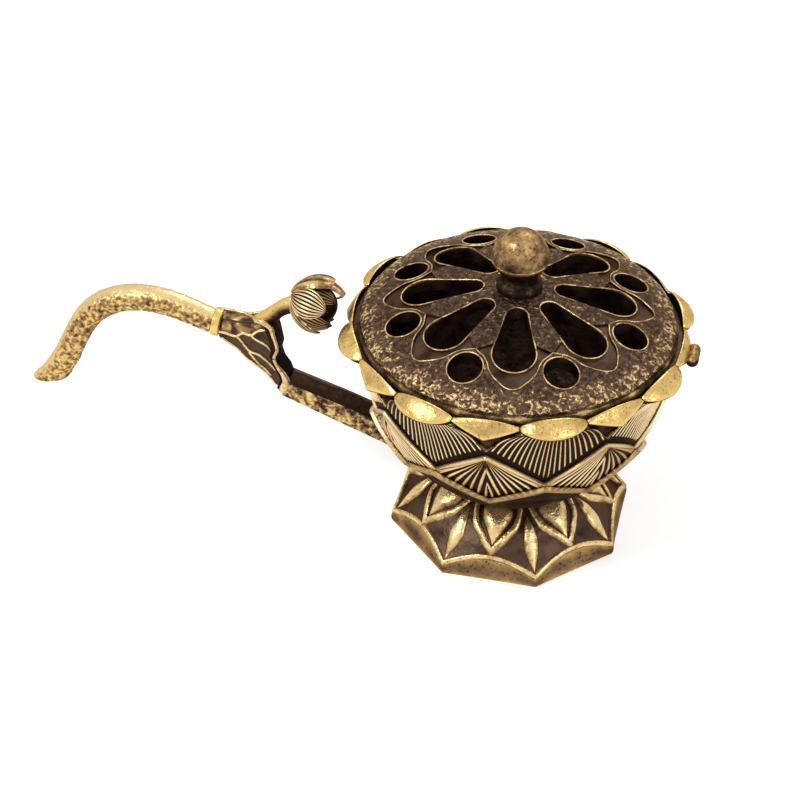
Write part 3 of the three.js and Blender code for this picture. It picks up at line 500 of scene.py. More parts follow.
def lid_brass(name):
    """Brown hammered dome with pale painted glints on its highest bumps, densest at the shoulder, and a
    streaked band at the edge."""
    gold, pale, deep, patina = colours("gold", "pale_gold", "deep_gold", "patina")
    edge = size_of("lid_radius")
    f = Finish(name)
    flat = f.fill(f.add("ShaderNodeVectorMath", operation="MULTIPLY"), f.place, (1 / MM, 1 / MM, 0))
    away = f.add("ShaderNodeVectorMath", operation="LENGTH")
    f.fill(away, flat)
    radius = away.outputs["Value"]
    lumps = f.noise(0.62, detail=1.6, distortion=0.6)
    fine = f.noise(0.3)
    shoulder = f.times(f.span(radius, edge - 4.2, edge - 0.8), 0.17)
    inner = f.times(f.span(radius, 5.0, 12.0, 1.0, 0.0), 0.03)
    level = f.sway(f.sway(lumps, fine, 0.22), f.noise(3.0), 0.18)
    level = f.maths("ADD", f.maths("ADD", level, shoulder), f.maths("SUBTRACT", inner, 0.085))
    band = f.span(radius, edge - 0.4, edge - 0.1)
    within = f.maths("SUBTRACT", 1.0, band)
    streaks = f.more(0.44, f.noise(1.3, detail=3), 0.4)
    level = f.more(f.times(level, within), band, streaks)
    # Colour of the pale painted glints on the highest bumps
    painted_glint = tuple(0.42 * p + 0.26 * g + 0.32 * d for p, g, d in zip(pale, gold, deep))
    colour = f.ramp(level, (0.34, blend(BLACK, patina, 0.5)), (0.46, patina), (0.575, blend(BLACK, patina, 1.35)),
                    (0.635, deep), (0.7, painted_glint))
    f.bumps((f.times(lumps, within), 0.6), (fine, 0.06))
    return f.done(colour, f.span(level, 0.4, 0.7, 0.42, 0.3), 0.75)


def ribbed_brass(name):
    """Rubbed ribs over dark hollows, following the relief of the mesh."""
    pale, deep, patina, shadow = colours("pale_gold", "deep_gold", "patina", "shadow")
    f = Finish(name)
    level = f.sway(f.relief(), f.noise(1.6, detail=3), 0.35)
    colour = f.ramp(level, (0.1, shadow), (0.36, blend(patina, shadow, 0.65)), (0.56, deep), (0.77, pale))
    f.bumps((f.noise(0.35), 0.02))
    return f.done(colour, f.span(level, 0.3, 0.9, 0.45, 0.28), 0.8, (0.4, 0.3, 0.22))


def rubbed_brass(name, dark=0.0, contrast=0.7, blotch=2.6, pale=0.0):
    """Golden brass with brown specks in its pores; dark lowers it towards the patina, and pale is
    the share of cream in the gold."""
    gold, cream, deep, patina, shadow = colours("gold", "pale_gold", "deep_gold", "patina", "shadow")
    f = Finish(name)
    specks = f.noise(0.35, roughness=0.6)
    level = f.sway(f.relief(), f.noise(blotch, detail=4, roughness=0.6), contrast)
    level = f.maths("SUBTRACT", level, f.times(f.span(specks, 0.56, 0.72), 0.3))
    level = f.maths("SUBTRACT", level, dark)
    colour = f.ramp(level, (0.05, shadow), (0.28, patina), (0.55, deep), (0.85, blend(gold, cream, pale)))
    f.bumps((specks, 0.04), (f.noise(0.9), 0.12))
    return f.done(colour, f.span(level, 0.2, 0.9, 0.45, 0.26), 0.85)


def dark_brass(name, light=0.0, worn=0.35):
    """Smooth brown patina with a few rubbed spots, lighter where the relief is high."""
    deep, patina, shadow = colours("deep_gold", "patina", "shadow")
    f = Finish(name)
    cloud = f.noise(3.0, detail=3)
    spots = f.noise(0.5)
    level = f.more(f.more(cloud, f.span(spots, 0.66, 0.8), 0.3), f.relief(), worn)
    level = f.maths("ADD", level, light - 0.1)
    colour = f.ramp(level, (0.2, shadow), (0.5, patina), (0.72, patina), (0.9, deep))
    f.bumps((spots, 0.03), (f.noise(1.1), 0.12))
    return f.done(colour, f.span(cloud, 0.3, 0.7, 0.34, 0.48), 0.92, (0.3, 0.22, 0.18))


def turned_brass(name):
    """Plain brass of the fastenings, a little dull in places."""
    bright, = colours("plain_brass")
    f = Finish(name)
    wear = f.noise(1.2, detail=3)
    f.bumps((f.noise(0.2, detail=1), 0.01))
    return f.done(f.mix(f.span(wear, 0.35, 0.7), blend(BLACK, bright, 0.55), bright),
                  f.span(wear, 0.3, 0.7, 0.25, 0.42))


# Each finish, its maker and what it is told
FINISHES = {
    "patina_brass": (dark_brass, dict()),
    "foot_top_brass": (dark_brass, dict(worn=0.2)),
    "crown_dark_brass": (dark_brass, dict(light=-0.2)),
    "lid_hollow_brass": (dark_brass, dict(light=-0.05)),
    "bar_top_brass": (dark_brass, dict(light=-0.3)),
    "leaf_cell_brass": (dark_brass, dict(light=0.1, worn=0.3)),
    "ribbed_brass": (ribbed_brass, dict()),
    "rubbed_brass": (rubbed_brass, dict()),
    "foot_side_brass": (rubbed_brass, dict(dark=0.04, contrast=0.75, blotch=3.5)),
    "foot_gilt_brass": (rubbed_brass, dict(dark=-0.1, contrast=1.2, blotch=1.8, pale=0.5)),
    "lug_brass": (rubbed_brass, dict(dark=0.48, contrast=1.0, blotch=1.2)),
    "rubbed_lines": (rubbed_brass, dict(dark=0.34, contrast=1.5, blotch=1.6, pale=0.5)),
    "knob_brass": (rubbed_brass, dict(contrast=1.3, blotch=1.5)),
    "vein_brass": (rubbed_brass, dict(dark=0.08, contrast=0.8, pale=0.75)),
    "stalk_brass": (rubbed_brass, dict()),
    "bud_cap_brass": (rubbed_brass, dict(contrast=1.4, blotch=1.3, pale=0.3)),
    "hammered_handle": (hammered_brass, dict(share=0.43, size=0.75, pits=0.45, lowest=0.2)),
    "leaf_hammered_brass": (hammered_brass, dict(share=0.44, size=1.5, pits=0.25, light=0.02, lowest=0.5)),
    "hammered_grip": (hammered_brass, dict(share=0.59, size=0.62, smooth_top_with_highlight=True, pits=0.55, lowest=0.65)),
    "hammered_lid": (lid_brass, dict()),
    "turned_brass": (turned_brass, dict()),
}


def finish(name):
    """The finish of that name in the table, made once."""
    maker, values = FINISHES[name]
    return bpy.data.materials.get(name) or maker(name, **values)


# Sizes and colours that a user may change

class CenserSizes(PropertyGroup):
    foot_height: FloatProperty(name="Foot height", description="From the table to the bowl's underside",
                               default=0.0096, min=0.004, unit="LENGTH")
    bowl_depth: FloatProperty(name="Bowl depth", description="From the bowl's underside to the lid's ledge",
                              default=0.0233, min=0.01, unit="LENGTH")
    mouth_radius: FloatProperty(name="Mouth radius", description="Radius of the opening that takes the lid",
                                default=0.0226, min=0.01, unit="LENGTH")
    lid_radius: FloatProperty(name="Lid radius", description="Outer radius of the pierced lid",
                              default=0.022, min=0.01, unit="LENGTH")
    lid_dome: FloatProperty(name="Dome radius", description="Radius of the sphere that the lid's top follows",
                            default=0.048, min=0.02, unit="LENGTH")
    lid_turn: FloatProperty(name="Lid turn", description="How far the lid is turned from the handle's line",
                            default=math.radians(7.8), unit="ROTATION")
    knob_radius: FloatProperty(name="Knob radius", description="Radius of the lid's ball knob",
                               default=0.00395, min=0.001, unit="LENGTH")
    bar_width: FloatProperty(name="Bar width", description="Width of the handle's flat arm",
                             default=0.0038, min=0.001, unit="LENGTH")
    grip_radius: FloatProperty(name="Grip radius", description="Half the thickness of the curved grip",
                               default=0.002, min=0.0005, unit="LENGTH")
    bud_radius: FloatProperty(name="Bud radius", description="Radius of the lotus bud on its stalk",
                              default=0.004, min=0.001, unit="LENGTH")
    petal_ribs: IntProperty(name="Petal ribs", description="Ribs that fan over each upper petal",
                            default=22, min=8, max=40)


class CenserColours(PropertyGroup):
    gold: FloatVectorProperty(name="Rubbed gold", description="Brass where hands and cloth have polished it",
                              subtype="COLOR", size=3, min=0, max=1, default=(0.8, 0.55, 0.19))
    pale_gold: FloatVectorProperty(name="Pale gold", description="Fine ribs and veins, worn almost to cream",
                                   subtype="COLOR", size=3, min=0, max=1, default=(0.86, 0.67, 0.38))
    deep_gold: FloatVectorProperty(name="Deep gold", description="Brass on its way to the patina",
                                   subtype="COLOR", size=3, min=0, max=1, default=(0.36, 0.215, 0.085))
    patina: FloatVectorProperty(name="Patina", description="Brown of the aged surface",
                                subtype="COLOR", size=3, min=0, max=1, default=(0.095, 0.057, 0.037))
    shadow: FloatVectorProperty(name="Hollow", description="Darkest tone, in grooves and behind petals",
                                subtype="COLOR", size=3, min=0, max=1, default=(0.022, 0.013, 0.009))
    plain_brass: FloatVectorProperty(name="Plain brass", description="Screw, washers and nut",
                                     subtype="COLOR", size=3, min=0, max=1, default=(0.58, 0.42, 0.18))
    floor: FloatVectorProperty(name="Floor", description="Pale ground that the censer stands on",
                               subtype="COLOR", size=3, min=0, max=1, default=(1.0, 1.0, 1.0))


# Foot

# Of the base's straight sides: the way out to them and half their length
FLAT_REACH = 16.168
CORNER_HALF = 6.697
# The way out to the middle of the rim's hollow sides
STAR_REACH = 15.5
BELL_TOP = (8.3, 9.6)


def star_rim(share):
    """Point of the star's rim on one side: share runs from -1 at one corner to 1 at the next."""
    return STAR_REACH + (FLAT_REACH - STAR_REACH) * share * share, CORNER_HALF * share


def make_foot_body():
    # Rows go from the middle of the underside out to the rim, up the side and in over the bell
    under = ((0, 0), (4.6, 0), (4.6, 4.4), (6.8, 4.6), (11.3, 3.2), (13.4, 0))
    side = ((-0.015, 0), (0, 0.03), (0.08, 0.12), (0.3, 0.3), (0.55, 0.52), (0.8, 0.74), (1, 0.93))
    bell = [(t, 0) for t in np.linspace(0, 1, 30)]
    table = [*under, *side, *bell, BELL_TOP, (0, BELL_TOP[1])]
    side_row = len(under)
    bell_row = side_row + len(side)
    last = len(table) - 1

    def place(u, v):
        turn = u * PETALS
        first = np.floor(np.minimum(turn, PETALS - 1e-6))
        rim_ahead, aside = star_rim(2 * (turn - first) - 1)
        rim = np.hypot(rim_ahead, aside)
        row, a, b = entry(table, v)
        bow = np.sin(math.pi * b)
        ahead = FLAT_REACH + (rim_ahead - FLAT_REACH) * a + 0.22 * bow - 0.25 * (row == side_row)
        inward = rim + (BELL_TOP[0] - rim) * a
        zones = [(row >= side_row) & (row < bell_row), (row >= bell_row) & (row < last - 1)]
        radius = np.select(zones, [np.hypot(ahead, aside), inward], a)
        angle = first * STEP + np.arctan2(aside, np.where(zones[0], ahead, rim_ahead))
        height = np.select(zones, [bell_height(rim) * b, bell_height(inward)], b)
        return radius, angle, height, np.select(zones, [0.7 - 0.3 * bow, 0.3], 0.2)

    return wrap("foot_body", PETALS * 24, last, place)


def make_rim_bead():
    path = []
    for k in range(PETALS):
        for share in np.linspace(-1, 1, 25)[:-1]:
            ahead, aside = star_rim(share)
            rim = math.hypot(ahead, aside) - 0.3
            angle = k * STEP + math.atan2(aside, ahead)
            path.append((rim * math.cos(angle), rim * math.sin(angle), bell_height(rim) - 0.14))
    return tube("foot_rim", path, 0.43, closed=True, relief=0.72)


def boss(name, stations, crown):
    """A domed ornament on the foot, from (reach, half width) stations along the X axis."""
    reaches, halves = zip(*stations)

    def place(u, v):
        reach = reaches[0] + (reaches[-1] - reaches[0]) * v
        half = read(stations, reach)
        side = np.clip(2.4 * u - 1.2, -1, 1)
        ground = bell_height(np.hypot(reach, half * side))
        fullness = np.minimum(half / max(halves) * 1.6, 1)
        height = ground + crown * np.sqrt(1 - side * side) * fullness
        height = np.where(np.abs(u - 0.5) > 0.47, ground - 0.5, height)
        return reach, half * side, height, 0.4 + 0.42 * (1 - side * side)

    return close_back(skin(name, 14, 22, place))


def band(name, outer, inner, crown, relief):
    """A raised flat-topped band between two lines of (reach, half width), up one side and down the other."""
    steps = 24
    lines = []
    for line in (outer, inner):
        half = curve_through(line, steps)
        lines.append(np.concatenate([half, half[-2::-1] * (1, -1)]))
    # Share of the way across and share of the crown
    across = ((0, -0.35), (0.02, 0.2), (0.12, 0.75), (0.3, 1), (0.7, 1), (0.88, 0.75), (0.98, 0.2), (1, -0.35))

    def place(u, v):
        index = np.rint(v * (2 * steps - 2)).astype(int)
        _, share, rise = entry(across, u)
        x, y = lines[0][index].T * (1 - share) + lines[1][index].T * share
        return x, y, bell_height(np.hypot(x, y)) + crown * rise, relief * (0.55 + 0.45 * rise)

    return close_back(skin(name, len(across) - 1, 2 * steps - 2, place))


def make_foot_ornament():
    drop = boss("foot_drops", ((8.9, 1.6), (9.4, 2.05), (10.1, 2.3), (10.9, 2.15), (11.7, 1.75), (12.5, 1.25),
                               (13.3, 0.65), (13.8, 0.3), (14.1, 0.06)), 0.8)
    leaf = boss("foot_leaves", ((10.7, 0.06), (11.4, 0.38), (12.3, 0.72), (13.7, 1.12), (14.9, 0.92),
                                (15.8, 0.55), (16.75, 0.06)), 0.6)
    arch = band("foot_arches", ((8.75, 3.42), (10.8, 3.46), (11.85, 3.32), (13.35, 2.2), (15.45, 0)),
                ((8.75, 2.6), (10.8, 2.54), (11.78, 2.26), (13.0, 1.3), (14.45, 0)), 0.46, 0.7)
    return round_the_axis(drop), round_the_axis(leaf, STEP / 2), round_the_axis(arch)


class CENSER_OT_foot(Operator):
    """Star foot with its rim bead, pointed arches, drops and leaves"""
    bl_idname = "censer.foot"
    bl_label = "Foot"

    def execute(self, context):
        body = make_foot_body()
        hand_over(body, ["foot_top_brass", "foot_side_brass"], EDGED, ["foot"])
        second_finish(body, lambda x, y, z, way: math.hypot(x, y) > 14.5 and way.z < 0.45 and z > 0.02)
        gilt = ["foot_gilt_brass"]
        hand_over(make_rim_bead(), gilt)
        for piece in make_foot_ornament():
            hand_over(piece, gilt, FLOWING)
        return {"FINISHED"}


# Bowl

CUP_FLOOR = 2.6
CUP_WALL = 1.9
# Heights above the bowl's underside of the valleys and the tips of each row of petals
LOWER_EDGE = (6.76, 10.95)
MIDDLE_EDGE = (10.95, 17.1)
UPPER_EDGE = (17.9, 22.7)
LUG_PLACE = (24.3, 0, 32.0)


def make_cup():
    base = size_of("foot_height")
    outside = [(r, base + z) for r, z in CUP_OUTLINE[:-1]]
    inside = [(min(float(cup_radius(z)) - CUP_WALL, 20.4), base + z)
              for z in (23.3, 20.0, 16.0, 11.0, 7.4, 4.4, CUP_FLOOR)]
    cup = turned_piece("bowl_cup", [(0.0, base), *outside, (22.6, mouth_rim()[1]), *inside,
                                    (0.0, base + CUP_FLOOR)], 120)
    lay_relief(cup, 0.15)
    return cup


def edge_height(edge, form, side):
    valley, tip = edge
    return valley + (tip - valley) * form(np.abs(side))


def petal_row(name, edge, form, bottom, outset, ribs_of, columns, rows, foot_share=1.0, first=0.0):
    """One row of petals round the cup, which stand out from it by outset at their edge and by a share
    of that at their foot. Heights are above the bowl's underside."""
    base = size_of("foot_height")
    fold = 6
    lip = 0.28

    def place(u, v):
        side = 2 * u - 1
        top = edge_height(edge, form, side)
        row = np.rint(v * (rows + fold))
        part = np.clip(row / rows, 0, 1)
        height = bottom + (top - bottom) * part
        rib, relief = ribs_of(side, height, top)
        radius = cup_radius(height) + outset * (foot_share + (1 - foot_share) * part) + rib
        # The rows past the top turn over the edge and sink into the cup
        over = row - rows
        turn = math.pi * np.minimum(over, fold - 1) / (fold - 1)
        zones = [over == fold, over > 0]
        wall = cup_radius(top)
        radius = np.select(zones, [wall - 0.8, wall + outset - lip + lip * np.cos(turn)], radius)
        height = np.select(zones, [top - 0.4, top + 0.2 * np.sin(turn)], height)
        return radius, side * STEP / 2, height + base, np.where(over > 0, 1 - 0.12 * over, relief)

    return round_the_axis(wrap(name, columns, rows + fold, place), first)


def pointed(side):
    return 1 - side * (0.7 + 0.3 * side)


def shouldered(side):
    return 1 - (np.clip(side - 0.45, 0, 1) / 0.55) ** 1.2


def plain_petal(relief, edge_width=0.55, edge=1.0):
    """A petal's smooth dark body with a rubbed line along its upper edge."""
    def ribs(side, height, top):
        near = smooth_step(edge_width, edge_width * 0.6, top - height)
        return 0.1 * near, relief + (edge - relief) * near
    return ribs


def ribbon_petal(half_width):
    """A petal of which the upper edge stands out as a ribbon with faint lines along it."""
    def ribs(side, height, top):
        down = top - height
        near = smooth_step(0.95, 0.75, down)
        node = smooth_step(1.2, 0.5, np.hypot(side * half_width, down))
        tone = np.maximum(0.5 + 0.4 * wave(down / 0.36, 0.8), node)
        cross = wave(side * half_width / 0.55)
        return 0.3 * near, near * tone + (1 - near) * (0.1 + 0.3 * cross)
    return ribs


def rib_fan(name, form, ribs, per_rib, first, border_out):
    """A fan of ribs over one petal, copied round the bowl. form gives the angle, the height, how far the
    fan stands out from the cup and the relief; its border stands out by border_out."""
    base = size_of("foot_height")

    def place(u, v):
        across = 2 * u - 1
        angle, height, out, tone = form(ribs, across, np.abs(across), v)
        border = np.maximum(np.abs(u - 0.5), np.abs(v - 0.5)) > 0.498
        radius = cup_radius(height) + np.where(border, border_out, out)
        return radius, angle, base + height, np.clip(tone, 0, 1)

    return round_the_axis(close_back(wrap(name, ribs * per_rib, 26, place)), first)


def upper_fan(ribs, across, away, down):
    """Thin ribs from under each broad lobe, fanning down and out over the upper petal."""
    start_angle = 4.4 * across / 22.4
    start_height = 22.75 - 0.35 * away**3
    end_side = across * 0.97
    # The fan ends a little above the edge of the middle petals
    end_height = edge_height(MIDDLE_EDGE, pointed, 1 - np.abs(end_side)) + 0.85 + 0.35 * away
    angle = start_angle + (end_side * STEP / 2 - start_angle) * down**(1 - 0.25 * away)
    height = start_height + (end_height - start_height) * down + np.sin(math.pi * down) * 0.5 * away
    rib = wave(across * ribs / 2 + 0.5 * (ribs % 2 == 0), 2.5)
    fade = smooth_step(0.0, 0.12, down) * smooth_step(1.0, 0.94, down)
    return angle, height, 0.4 + 0.22 * rib * (0.35 + 0.65 * fade), 1.1 * rib * (0.7 + 0.3 * fade)


def middle_fan(ribs, across, away, down):
    """Ribs that radiate from the tip of each middle petal, with chevrons down its spine."""
    spine = 0.3
    start_height = 16.9 - 6.9 * np.clip(1 - away / spine, 0, 1) ** 0.9
    end_height = 7.0 + 3.75 * away**0.9
    angle = across * STEP / 2 * down**1.05
    height = start_height + (end_height - start_height) * down + np.sin(math.pi * down) * 0.3 * away
    edge = smooth_step(0.93, 0.97, away)
    node = smooth_step(0.1, 0.04, down) * smooth_step(spine * 0.6, spine, away)
    rib = np.maximum(wave(across * (ribs - 1) / 2 + 0.5, 1.2), np.maximum(edge, node))
    middle = smooth_step(0.0, 0.3, down) * smooth_step(1.0, 0.8, down)
    return angle, height, 0.84 + 0.34 * rib, rib * (0.8 + 0.2 * middle)


def make_crown():
    """The dark band under the lobes: the mouth's wall, the ledge outside it and its skirt."""
    mouth, ledge = mouth_rim()
    skirt = ((0, -0.15), (-0.2, -0.4), (-0.8, -0.7), (-1.7, -1.4), (-2.4, -2.2))
    wall_rows, top_rows = 3, 9
    table = [(0, 0)] * (wall_rows + top_rows) + [*skirt]
    last = len(table) - 1

    def place(u, v):
        turn = u * 2 * PETALS
        nearest = np.rint(turn)
        broad = (nearest % 2) != 0
        side = np.abs(turn - nearest) * 2
        swell = np.where(broad, np.clip(1 - side**2, 0, 1) ** 0.7, 1 - side)
        crest = ledge + 0.12 + np.where(broad, 0.85, 0.6) * swell
        reach = mouth + 0.45 + np.where(broad, 1.55, 0.95) * swell
        tip = ledge - 0.05 - np.where(broad, 0.3, 0.9) * swell
        row, inward, drop = entry(table, v)
        out = np.clip((row - wall_rows + 1) / top_rows, 0, 1)
        zones = [row < wall_rows, row < wall_rows + top_rows]
        radius = np.select(zones, [np.full_like(u, mouth), mouth + 0.1 + (reach - mouth - 0.1) * out],
                           np.maximum(reach + inward, cup_radius(22.0) - 0.3))
        height = np.select(zones, [ledge + (crest - ledge) * row / (wall_rows - 1),
                                   crest + (tip - crest) * out**1.1], tip + drop)
        return radius, turn * STEP / 2, height, 0.05

    return wrap("bowl_crown", 48 * PETALS, last, place)


def make_lobes(broad):
    """Flat pointed lenses (broad) or triangles that point down (small), lying on the dark band."""
    mouth, ledge = mouth_rim()
    # Share of the way out and rise: over the top and back along the underside
    across = ((0, 0), (0.05, 0.12), (0.12, 0.22), (0.25, 0.28), (0.4, 0.3), (0.55, 0.3), (0.7, 0.26), (0.84, 0.2),
              (0.94, 0.1), (1, 0), (1, -0.25), (0.92, -0.45), (0.7, -0.5), (0.4, -0.5), (0.1, -0.4), (0, -0.2), (0, 0))

    def place(u, v):
        side = 2 * u - 1
        away = np.abs(side)
        round_off = 1 - side * side
        if broad:
            out, crest, drop = 1.7 * round_off**0.75, 0.34 + 1.15 * round_off**0.75, 0.36 * round_off
        else:
            out, crest, drop = 1.02 * (1 - away), 0.32 + 0.8 * round_off, 1.2 * (1 - away)
        inner = mouth + 0.12
        row, share, rise = entry(across, v)
        radius = inner + (0.5 + out) * share
        height = ledge + crest + (0.12 - drop - crest) * share + rise * round_off**0.6
        rim = (row <= 1) | ((row >= 8) & (row <= 9))
        # The undersides get a dark tone: painted shade under each lobe
        tone = np.select([rise < 0, rim | (away > 0.93)], [0.15, np.where(away > 0.93, 0.9, 0.95)], 0.78)
        return radius, side * STEP / 4 * 0.985, height, tone

    name = "broad_lobes" if broad else "small_lobes"
    return round_the_axis(close_back(wrap(name, 40, len(across) - 1, place)), STEP / 2 if broad else 0.0)


def make_lug():
    """Small rounded lug on the rim, across from the handle."""
    radius, half, end, quarter = 0.86, 1.3, 2.15, math.pi / 2
    lug = turned_piece("rim_lug", [(0.0, -end), *arc(0, -half, radius, -quarter, 0, 8)[1:],
                                   *arc(0, half, radius, 0, quarter, 8)[:-1], (0.0, end)], 24)
    lug.data.transform(Matrix.Translation(Vector(LUG_PLACE) * MM) @ Matrix.Rotation(quarter, 4, "X"))
    # Painted highlight on the lug's top and painted shade under it
    lit_from_above(lug)
    return lug


class CENSER_OT_bowl(Operator):
    """Lotus bowl: cup, three rows of ribbed petals, the crown's lobes and the lug"""
    bl_idname = "censer.bowl"
    bl_label = "Bowl"

    def execute(self, context):
        ribs = context.scene.censer_sizes.petal_ribs
        hand_over(make_cup(), ["patina_brass"], 30, ["bowl"])
        petals = (
            petal_row("petals_lower", LOWER_EDGE, pointed, 0.7, 1.7, ribbon_petal(7.6), 120, 26, 0.1, STEP / 2),
            petal_row("petals_middle", MIDDLE_EDGE, pointed, 4.7, 1.0, plain_petal(0.08), 60, 30),
            petal_row("petals_upper", UPPER_EDGE, shouldered, 9.8, 0.5, plain_petal(0.05, 0.3, 0.4), 60, 26,
                      first=STEP / 2),
            rib_fan("upper_ribs", upper_fan, ribs, 10, STEP / 2, -0.3),
            rib_fan("middle_ribs", middle_fan, 15, 12, 0.0, 0.3))
        for piece in petals:
            hand_over(piece, ["ribbed_brass"], FLOWING)
        hand_over(make_crown(), ["crown_dark_brass"], CAST)
        for broad in (True, False):
            hand_over(make_lobes(broad), ["rubbed_brass"], CAST)
        hand_over(make_lug(), ["lug_brass"], CAST)
        return {"FINISHED"}


# Lid

LID_TOP = 39.51
KNOB_SEAT = 3.4
LID_WALL = 1.9
LID_HOLLOW = 20.6
HOLE_REACH = 16.5
HOLE_RADIUS = 2.4
# Bottoms and top of the cutters that go through the lid
ZONE_BOTTOM, SLOT_BOTTOM, CUT_TOP = 30, 25, 45


def dome(radius):
    """Height of the lid's top."""
    return LID_TOP - np.maximum(np.square(radius) - KNOB_SEAT**2, 0) / (2 * size_of("lid_dome"))


def teardrop(grow=0.0, count=20):
    """Outline of one drop-shaped opening along X."""
    small, inner, large, outer = 1.5 + grow, 6.3, 2.95 + grow, 13.1
    lean = math.acos((small - large) / (outer - inner))
    return [*arc(outer, 0, large, -lean, lean, 2 * count),
            *arc(inner, 0, small, lean, 2 * math.pi - lean, count)]


def hole(grow=0.0, count=40):
    """Outline of one round opening along X."""
    return arc(HOLE_REACH, 0, HOLE_RADIUS + grow, 0, 2 * math.pi, count + 1)[:-1]


def recess():
    """Outline of the lowered petal round the outer part of a drop-shaped opening."""
    half = ((11.3, 2.2), (12.38, 5.05), (12.9, 4.6), (13.6, 3.95), (14.6, 3.45), (15.7, 3.15), (16.7, 2.55),
            (17.6, 1.7), (18.3, 0.85), (18.55, 0.0))
    line = [*half, *((x, -y) for x, y in half[-2::-1])]
    return [line[0], *(tuple(point) for point in curve_through(line[1:-1], 48)), line[-1]]


def turned_outline(outline, angle):
    c, s = math.cos(angle), math.sin(angle)
    return [(x * c - y * s, x * s + y * c) for x, y in outline]


def make_lid(lid_turn):
    rim = size_of("lid_radius")
    ledge = mouth_rim()[1]
    seat = rim - 2.4
    top = [(r, float(dome(r))) for r in np.linspace(rim - 0.9, 0.0, 26)]
    under = [(r, float(dome(r)) - LID_WALL) for r in np.linspace(0.0, seat, 8)]
    lid = turned_piece("lid_plate", [*under, (seat, ledge), (rim - 0.3, ledge), (rim, ledge + 0.3), (rim, ledge + 0.9),
                                     (rim - 0.25, ledge + 1.35), (rim - 0.55, ledge + 1.75), *top], 144)
    turns = [lid_turn + k * STEP for k in range(PETALS)]
    zone = join([plate("zone", turned_outline(recess(), turn), ZONE_BOTTOM, CUT_TOP) for turn in turns], "zones")
    # What stays under the lowered petals
    carve(zone, turned_piece("floor_form", [(0.0, SLOT_BOTTOM), (rim + 3, SLOT_BOTTOM)]
                             + [(r, float(dome(r)) - 0.3) for r in np.linspace(rim + 3, 0, 24)]))
    carve(lid, zone)
    cutters = []
    for turn in turns:
        for outline, angle in ((teardrop(), turn), (hole(), turn + STEP / 2)):
            cutters.append(plate("opening", turned_outline(outline, angle), SLOT_BOTTOM, CUT_TOP))
    carve(lid, join(cutters, "openings"))
    lay_relief(lid, 0.25)
    return lid


def make_lid_lines(lid_turn):
    """Thin rubbed lips round the openings and round the lowered petals."""
    lines = []
    for name, outline, rise, radius, closed, turn in (
            ("lid_slot_lips", teardrop(0.03, 26), -0.02, 0.11, True, lid_turn),
            ("lid_ring_lips", hole(0.02, 48), -0.02, 0.11, True, lid_turn + STEP / 2),
            ("lid_petal_lines", recess()[1:-1], -0.04, 0.1, False, lid_turn)):
        path = [(x, y, float(dome(math.hypot(x, y))) + rise) for x, y in outline]
        lines.append(round_the_axis(tube(name, path, radius, sides=8, closed=closed), turn))
    return join(lines, "lid_lines")


class CENSER_OT_lid(Operator):
    """Pierced dome lid with its lowered petals, openings and thin rubbed lips"""
    bl_idname = "censer.lid"
    bl_label = "Lid"

    def execute(self, context):
        lid_turn = context.scene.censer_sizes.lid_turn
        lid = make_lid(lid_turn)
        hand_over(lid, ["hammered_lid", "lid_hollow_brass"], EDGED, ["lid"], "lid")

        def hollow(x, y, z, way):
            away = math.hypot(x, y)
            return away < LID_HOLLOW and (z < float(dome(away)) - 0.12 or way.z < 0.5)

        second_finish(lid, hollow)
        hand_over(make_lid_lines(lid_turn), ["rubbed_lines"], FLOWING, body="lid")
        return {"FINISHED"}


# Knob and hidden fastenings

class CENSER_OT_knob(Operator):
    """Ball knob with its ridge, neck and base collar, and the stud under it"""
    bl_idname = "censer.knob"
    bl_label = "Knob"

    def execute(self, context):
        radius = size_of("knob_radius")
        stud_radius, stud_length = 1.2, 4.15
        ball_height, ball_rise = 4.75, 4.25
        ridge_bottom, ridge_top = 4.2, 4.65
        # Share of the ball's radius and height above the lid
        neck = ((0.79, 0), (0.8, 0.72), (0.76, 1.05), (0.64, 1.3), (0.625, 1.8), (0.64, 2.3), (0.7, 2.75),
                (0.83, 3.4), (0.93, 3.95), (0.985, 4.35), (1, 4.6))
        profile = [(0.0, LID_TOP - stud_length), (stud_radius, LID_TOP - stud_length), (stud_radius, LID_TOP)]
        profile += [(radius * r, LID_TOP + z) for r, z in neck]
        profile += [(radius * 0.985 * math.cos(a), LID_TOP + ball_height + ball_rise * math.sin(a))
                    for a in np.linspace(0, math.pi / 2, 18)]
        profile[-1] = (0.0, profile[-1][1])
        knob = turned_piece("knob_ball", profile)
        heights = points_of(knob)[:, 2] / MM - LID_TOP
        # Above the ridge the ball's relief, held in worn, rises towards the top: a painted highlight
        worn = 0.36 + 0.2 * smooth_step(5.0, 8.8, heights)
        lay_relief(knob, np.where(heights > ridge_top, worn, np.where(heights > ridge_bottom, 0.75, 0.1)))
        hand_over(knob, ["knob_brass"], EDGED, ["lid_knob"], "lid")
        return {"FINISHED"}


class CENSER_OT_fastenings(Operator):
    """Foot screw and washer, knob washer and nut, in plain brass"""
    bl_idname = "censer.fastenings"
    bl_label = "Screw, washers and nut"

    def execute(self, context):
        for name in ("foot_screw", "foot_washer", "knob_washer", "knob_nut"):
            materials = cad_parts[name].data.materials
            materials.clear()
            materials.append(finish("turned_brass"))
        return {"FINISHED"}


# Handle

